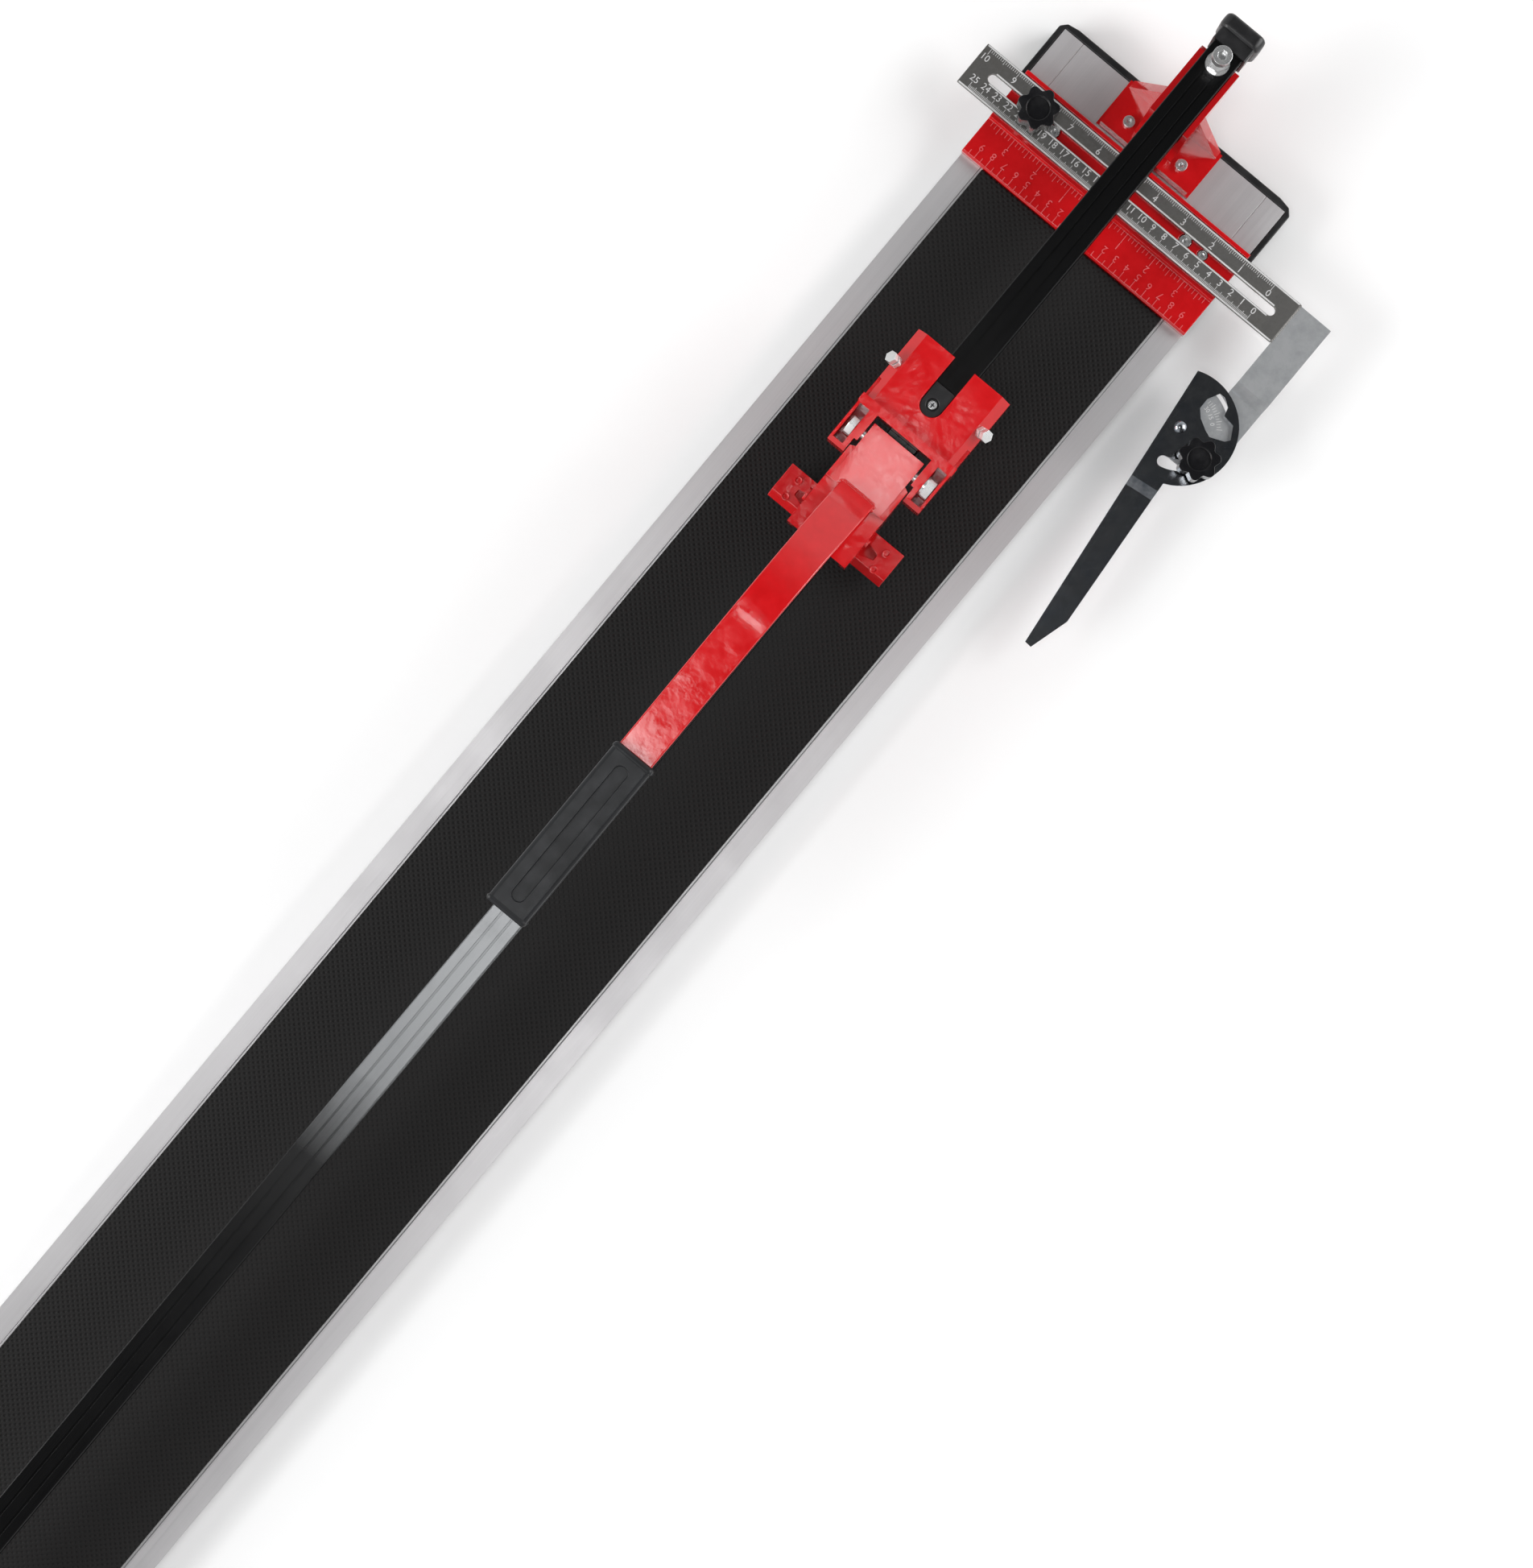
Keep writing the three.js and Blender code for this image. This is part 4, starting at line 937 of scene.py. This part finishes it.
@dataclass
class Gauge:
    """The sliding gauge bar with its etched scale, offset plate and angle arm."""

    finishes: Finishes
    sheet: float = 0.0025
    sheet_edge: float = 0.00035
    etch: float = 0.00005
    stroke_half: float = 0.00018
    numeral: float = 0.0048
    zero: float = 0.0229
    scale_end: float = 0.003
    strip: float = 0.0010
    strip_in: float = 0.0004
    slot_half: float = 0.0034
    slot_tail: float = 0.0106
    slot_margin: float = 0.0149

    def build(self) -> None:
        """Builds and dresses the gauge."""
        mirror = self.finishes.steel[Polish.MIRROR]
        finer("gauge_bar", self.finishes.steel[Polish.DARK], 0.0006, 2)
        finer("offset_plate", self.finishes.steel[Polish.SATIN], self.sheet_edge, 2, smooth_deg=15.0)
        finer("angle_arm", mirror, self.sheet_edge, 2, smooth_deg=15.0)
        finer("angle_rivet", mirror, 0.0003, 2)
        self._bright_edges()
        self._bar_scale()
        self._arc_scale()
        self._weld()
        Knob("gauge_knob", self.finishes, "gauge_stud").build()
        Knob("angle_knob", self.finishes, "angle_stud").build()

    def _bright_edges(self) -> None:
        """Lighter strips along the bar's two edges and along both sides of its slot."""
        low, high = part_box("gauge_bar")
        strips = []
        x = (low.x + high.x) / 2
        slot, strip_in, wide = self.slot_half, self.strip_in, self.strip
        ends = (low.y + self.slot_tail + slot, high.y - self.slot_margin - slot)
        for x0, x1, y0, y1 in (
            (low.x + strip_in, low.x + strip_in + wide, low.y + 0.001, high.y - 0.001),
            (high.x - strip_in - wide, high.x - strip_in, low.y + 0.001, high.y - 0.001),
            (x - slot - wide - strip_in, x - slot - strip_in, *ends),
            (x + slot + strip_in, x + slot + wide + strip_in, *ends),
        ):
            strip = block((x0, y0, high.z - 0.0003), (x1, y1, high.z + self.etch))
            pick_faces(strip, lambda centre, normal: normal.z > 0.9)
            bpy.ops.mesh.inset(thickness=0.0002, depth=0.00004)
            leave_edit()
            strips.append(strip)
        made = settle(joined(strips), "gauge_bright_edges")
        dress(made, self.finishes.steel[Polish.ETCHED], "gauge")

    def _bar_scale(self) -> None:
        """Etched centimetres down one side of the slot and inches down the other."""
        low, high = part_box("gauge_bar")
        top = high.z
        zero = low.y + self.zero
        last = high.y - self.scale_end
        half = self.stroke_half
        parts = []
        tick = Tick(0.0003, self.etch)
        for mm in range(0, 251):
            y = zero + mm * MM
            if y > last:
                break
            length = 0.0046 if mm % 10 == 0 else 0.0035 if mm % 5 == 0 else 0.0022
            x = low.x + 0.0016
            parts.append(tick.cut((x, y - half), (x + length, y + half), top))
        digits = Lettering(self.numeral, self.etch, -90.0)
        for cm in range(0, 26):
            y = zero + cm * 0.01
            if y < last:
                parts.append(digits.write(str(cm), (low.x + 0.0089, y, top)))
        for sixteenth in range(0, 161):
            y = zero + sixteenth * INCH / 16
            if y > last:
                break
            length = 0.0046 if sixteenth % 16 == 0 else 0.0034 if sixteenth % 8 == 0 else 0.0022
            x = high.x - 0.0016
            parts.append(tick.cut((x - length, y - half), (x, y + half), top))
        for whole in range(0, 11):
            y = zero + whole * INCH
            if y < last:
                parts.append(digits.write(str(whole), (high.x - 0.0089, y, top)))
        made = settle(joined(parts), "gauge_scale")
        dress(made, self.finishes.steel[Polish.ETCHED], "gauge")

    def _arc_scale(self) -> None:
        """Angle marks and numerals on the plate, read through the arm's window."""
        low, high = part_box("angle_rivet")
        centre = (low + high) / 2
        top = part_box("offset_plate")[0].z + self.sheet
        parts = []
        tick = Tick(0.0003, self.etch)
        for degrees in range(-54, -9, 4):
            length = 0.0040 if degrees % 12 == 6 else 0.0028
            mark = tick.cut((0.0255, -0.00016), (0.0255 + length, 0.00016), 0.0)
            turn = Matrix.Rotation(math.radians(degrees), 4, "Z")
            mark.data.transform(Matrix.Translation((centre.x, centre.y, top)) @ turn)
            parts.append(mark)
        for degrees, text in ((-17, "30"), (-31, "15"), (-45, "0")):
            angle = math.radians(degrees)
            place = (centre.x + 0.0225 * math.cos(angle), centre.y + 0.0225 * math.sin(angle), top)
            parts.append(Lettering(0.0030, self.etch, degrees - 90.0).write(text, place))
        made = settle(joined(parts), "angle_scale")
        dress(made, self.finishes.steel[Polish.ETCHED], "gauge")

    def _weld(self) -> None:
        """The weld bead between the bar's end and the offset plate."""
        low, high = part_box("gauge_bar")
        beads = []
        steps = 40
        for step in range(steps):
            share = (step + 0.5) / steps
            x = low.x + 0.001 + (high.x - low.x - 0.002) * share
            wobble = 0.0002 * math.sin(step * 2.4)
            bpy.ops.mesh.primitive_uv_sphere_add(
                segments=10, ring_count=6, radius=0.0012,
                location=(x, low.y - 0.0002 + wobble, high.z - 0.0009),
            )
            bead = bpy.context.object
            bead.scale = (1.0, 0.6, 0.6)
            beads.append(bead)
        made = settle(joined(beads), "gauge_weld")
        dress(made, self.finishes.steel[Polish.DARK], "gauge")


@dataclass
class Carriage:
    """The cast carriage with its rollers, wiper, scoring wheel and screws."""

    finishes: Finishes
    cast_edge: float = 0.0011

    def build(self) -> None:
        """Builds and dresses the carriage."""
        zinc = self.finishes.steel[Polish.ZINC]
        finer("carriage_body", self.finishes.red, self.cast_edge, 3)
        finer("wiper", self.finishes.plastic, 0.0006, 3)
        finer("wheel_holder", zinc, 0.0005, 2)
        finer("scoring_wheel", self.finishes.steel[Polish.MIRROR], 0.0001, 1, 50.0)
        for node in ("wheel_axle", "pivot_bolt", "pivot_nut", "wiper_screw"):
            finer(node, zinc, 0.0004, 2)
        for side in ("left", "right"):
            finer(f"adjusting_screw_{side}", zinc, 0.0004, 2)
            finer(f"lock_nut_{side}", zinc, 0.0004, 2)
        for index in (1, 2, 3, 4):
            finer(f"roller_{index}", zinc, 0.0005, 3)
            finer(f"roller_axle_{index}", zinc, 0.0003, 2)
        self._cross_recess()

    def _cross_recess(self) -> None:
        """Painted shade in the wiper screw's cross: two black bars, their middles sunk a little, where the
        recess would lie in shade.
        """
        low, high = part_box("wiper_screw")
        centre = (low + high) / 2
        bars = []
        for long_x, long_y in ((0.0016, 0.0004), (0.0004, 0.0016)):
            bar = block((centre.x - long_x, centre.y - long_y, high.z - 0.0004),
                        (centre.x + long_x, centre.y + long_y, high.z + 0.00012))
            pick_faces(bar, lambda c, n: n.z > 0.9)
            bpy.ops.mesh.inset(thickness=0.0002, depth=-0.0001)
            leave_edit()
            bars.append(bar)
        made = settle(joined(bars), "wiper_screw_cross_shade")
        # Black plastic here is painted shade.
        dress(made, self.finishes.plastic, "carriage")


@dataclass
class Handle:
    """The forked handle with its flat bar, rubber grip and breaking shoe."""

    finishes: Finishes
    panel_length: float = 0.112
    panel_width: float = 0.0105
    wing_top: float = 0.056
    boss_apart: float = 0.0140

    def build(self) -> None:
        """Builds and dresses the handle and the shoe."""
        finer("handle_fork", self.finishes.red, 0.0011, 3)
        finer("handle_bar", self.finishes.red, 0.0012, 3, 40.0, 0.5)
        finer("shoe_pin", self.finishes.red, 0.0005, 2)
        finer("breaking_shoe", self.finishes.red, 0.0009, 3)
        self._grip()
        self._shoe_bosses()
        self._weld()

    def _grip(self) -> None:
        """The rubber grip: a rounded sleeve with end collars and a sunk panel top and bottom."""
        low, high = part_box("handle_grip")
        middle = (low + high) / 2
        length = high.x - low.x
        select_none()
        made = block(low, high)
        take(made)
        bpy.ops.object.mode_set(mode="EDIT")
        collar_cuts = (0.0030, 0.0042, 0.0072)
        cuts = (*collar_cuts, length - 0.0064, length - 0.0048, length - 0.0040)
        for cut in cuts:
            bpy.ops.mesh.select_all(action="SELECT")
            bpy.ops.mesh.bisect(plane_co=(low.x + cut, 0, 0), plane_no=(1, 0, 0))
        leave_edit()
        body = (low.x + cuts[1], low.x + cuts[4])
        for vertex in made.data.vertices:
            if body[0] - 1e-6 < vertex.co.x < body[1] + 1e-6:
                vertex.co.y *= 0.955
                vertex.co.z = middle.z + (vertex.co.z - middle.z) * 0.945
        apply_modifier(made, "BEVEL", width=0.0058, segments=6, limit_method="ANGLE",
                       angle_limit=math.radians(60.0), use_clamp_overlap=True)
        for side in (1, -1):
            self._panel(made, side, middle)
        soften(made, 0.0005, 2, 25.0)
        settle(made, "handle_grip_finished", 40.0)
        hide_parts("handle_grip")
        dress(made, self.finishes.grip, "handle")

    def _panel(self, grip: bpy.types.Object, side: int, middle: Vector) -> None:
        """Sinks a round-ended groove in the grip's top or bottom face."""
        select_none()
        radius = self.panel_width / 2
        bpy.ops.mesh.primitive_cylinder_add(
            vertices=32, radius=radius, depth=0.004, location=(middle.x, 0.0, middle.z + side * 0.0125)
        )
        cutter = bpy.context.object
        bpy.ops.object.transform_apply(location=True, rotation=True, scale=True)
        reach = self.panel_length / 2 - radius
        for vertex in cutter.data.vertices:
            away = vertex.co.x - middle.x
            vertex.co.x += reach if away > 1e-6 else -reach if away < -1e-6 else 0.0
        soften(cutter, 0.0008, 2, 50.0)
        modifier = grip.modifiers.new("panel", "BOOLEAN")
        modifier.operation = "DIFFERENCE"
        modifier.object = cutter
        take(grip)
        bpy.ops.object.modifier_apply(modifier="panel")
        bpy.data.objects.remove(cutter)

    def _shoe_bosses(self) -> None:
        """Two round cast bosses on each wing of the breaking shoe."""
        low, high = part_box("breaking_shoe")
        bosses = []
        for side in (-1, 1):
            for x in (-self.boss_apart / 2, self.boss_apart / 2):
                bpy.ops.mesh.primitive_cylinder_add(
                    vertices=28, radius=0.0030, depth=0.0016,
                    location=((low.x + high.x) / 2 + x, side * (high.y - 0.0106), self.wing_top + 0.0002),
                )
                boss = bpy.context.object
                pick_faces(boss, lambda c, n: n.z > 0.9)
                bpy.ops.mesh.inset(thickness=0.0010, depth=0.0)
                bpy.ops.mesh.inset(thickness=0.0003, depth=-0.0006)
                leave_edit()
                bosses.append(boss)
        made = joined(bosses)
        soften(made, 0.00025, 2)
        settle(made, "breaking_shoe_bosses")
        dress(made, self.finishes.red, "breaking_shoe")

    def _weld(self) -> None:
        """The painted weld bead round the bar's root on the fork."""
        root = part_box("handle_bar")[1].x
        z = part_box("handle_fork")[1].z
        half = 0.0140
        back = root - 0.0035
        path = [(back, half), (root - 0.0012, half)]
        path += [(root + 0.0001, half - 0.0014 - 2 * (half - 0.0014) * i / 30) for i in range(31)]
        path += [(root - 0.0012, -half), (back, -half)]
        beads = []
        for step, (x, y) in enumerate(path):
            radius = 0.0014 + 0.0001 * math.sin(step * 1.9)
            bpy.ops.mesh.primitive_uv_sphere_add(
                segments=12, ring_count=8, radius=radius, location=(x, y, z)
            )
            bead = bpy.context.object
            bead.scale = (1.0, 1.0, 0.55)
            beads.append(bead)
        made = settle(joined(beads), "handle_weld")
        dress(made, self.finishes.red, "handle")


# ---------------------------------------------------------------- studio


@dataclass
class Studio:
    """A pale floor, soft lights and the camera."""

    camera_place: Point = (0.2098, -0.077, 2.225)
    camera_turn_deg: float = -50.18
    lens: float = 72.8
    floor_size: float = 14.0

    def camera(self) -> None:
        """Sets the camera straight above, turned so the rail runs up to the right."""
        data = bpy.data.cameras.new("camera")
        data.lens = self.lens
        data.sensor_width = 36.0
        data.clip_end = 50.0
        made = bpy.data.objects.new("camera", data)
        made.location = self.camera_place
        made.rotation_euler = (0.0, 0.0, math.radians(self.camera_turn_deg))
        bpy.context.scene.collection.objects.link(made)
        bpy.context.scene.camera = made

    def floor(self) -> None:
        """Lays the floor."""
        select_none()
        bpy.ops.mesh.primitive_plane_add(size=self.floor_size, location=(0.0, 0.0, -0.0005))
        made = bpy.context.object
        made.name = "floor"
        recipe = Recipe("pale_floor")
        recipe.feed(base_color=(0.93, 0.93, 0.93), roughness=0.7)
        made.data.materials.append(recipe.material)

    def lights(self) -> None:
        """Hangs the soft lights and sets the world's own light."""
        for name, place, size, power in (
            ("key_light", (-2.1, 2.1, 1.9), (2.2, 1.7), 84.0),
            ("fill_light", (2.3, -2.0, 1.9), (2.4, 1.9), 66.0),
            ("overhead_light", (-0.18, 0.10, 3.1), (0.95, 0.60), 12.5),
            ("spot_light", (0.70, 0.10, 3.0), (0.10, 0.12), 0.35),
        ):
            data = bpy.data.lights.new(name, "AREA")
            data.shape = "RECTANGLE"
            data.size, data.size_y = size
            data.energy = power
            made = bpy.data.objects.new(name, data)
            made.location = place
            towards = Vector((0.1, 0.0, 0.05)) - Vector(place)
            made.rotation_euler = towards.to_track_quat("-Z", "Y").to_euler()
            bpy.context.scene.collection.objects.link(made)
        bpy.context.scene.world = self._surround()
        bpy.context.scene.view_settings.view_transform = "Standard"

    def _surround(self) -> bpy.types.World:
        """A white room with a dark ceiling, so flat glossy faces stay dark from above."""
        world = bpy.data.worlds.new("studio")
        world.use_nodes = True
        tree = world.node_tree
        background = tree.nodes["Background"]
        place = tree.nodes.new("ShaderNodeTexCoord")
        split = tree.nodes.new("ShaderNodeSeparateXYZ")
        ramp = tree.nodes.new("ShaderNodeValToRGB")
        for element, (stop, level) in zip(ramp.color_ramp.elements, ((0.62, 0.80), (0.93, 0.05))):
            element.position = stop
            element.color = (level, level, level, 1.0)
        tree.links.new(place.outputs["Generated"], split.inputs[0])
        tree.links.new(split.outputs[2], ramp.inputs[0])
        tree.links.new(ramp.outputs[0], background.inputs[0])
        background.inputs[1].default_value = 1.0
        return world


def write_sizes() -> None:
    """Updates the view layer."""
    bpy.context.view_layer.update()


def main() -> None:
    """Builds the whole cutter and its studio."""
    logging.basicConfig(level=logging.INFO, format="%(message)s")
    studio = Studio()
    studio.camera()
    studio.floor()
    studio.lights()
    finishes = Finishes()
    for assembly in (Bed, Rail, Fence, Gauge, Carriage, Handle):
        LOG.info("building %s", assembly.__name__)
        assembly(finishes).build()
    write_sizes()


if __name__ == "__main__":
    main()
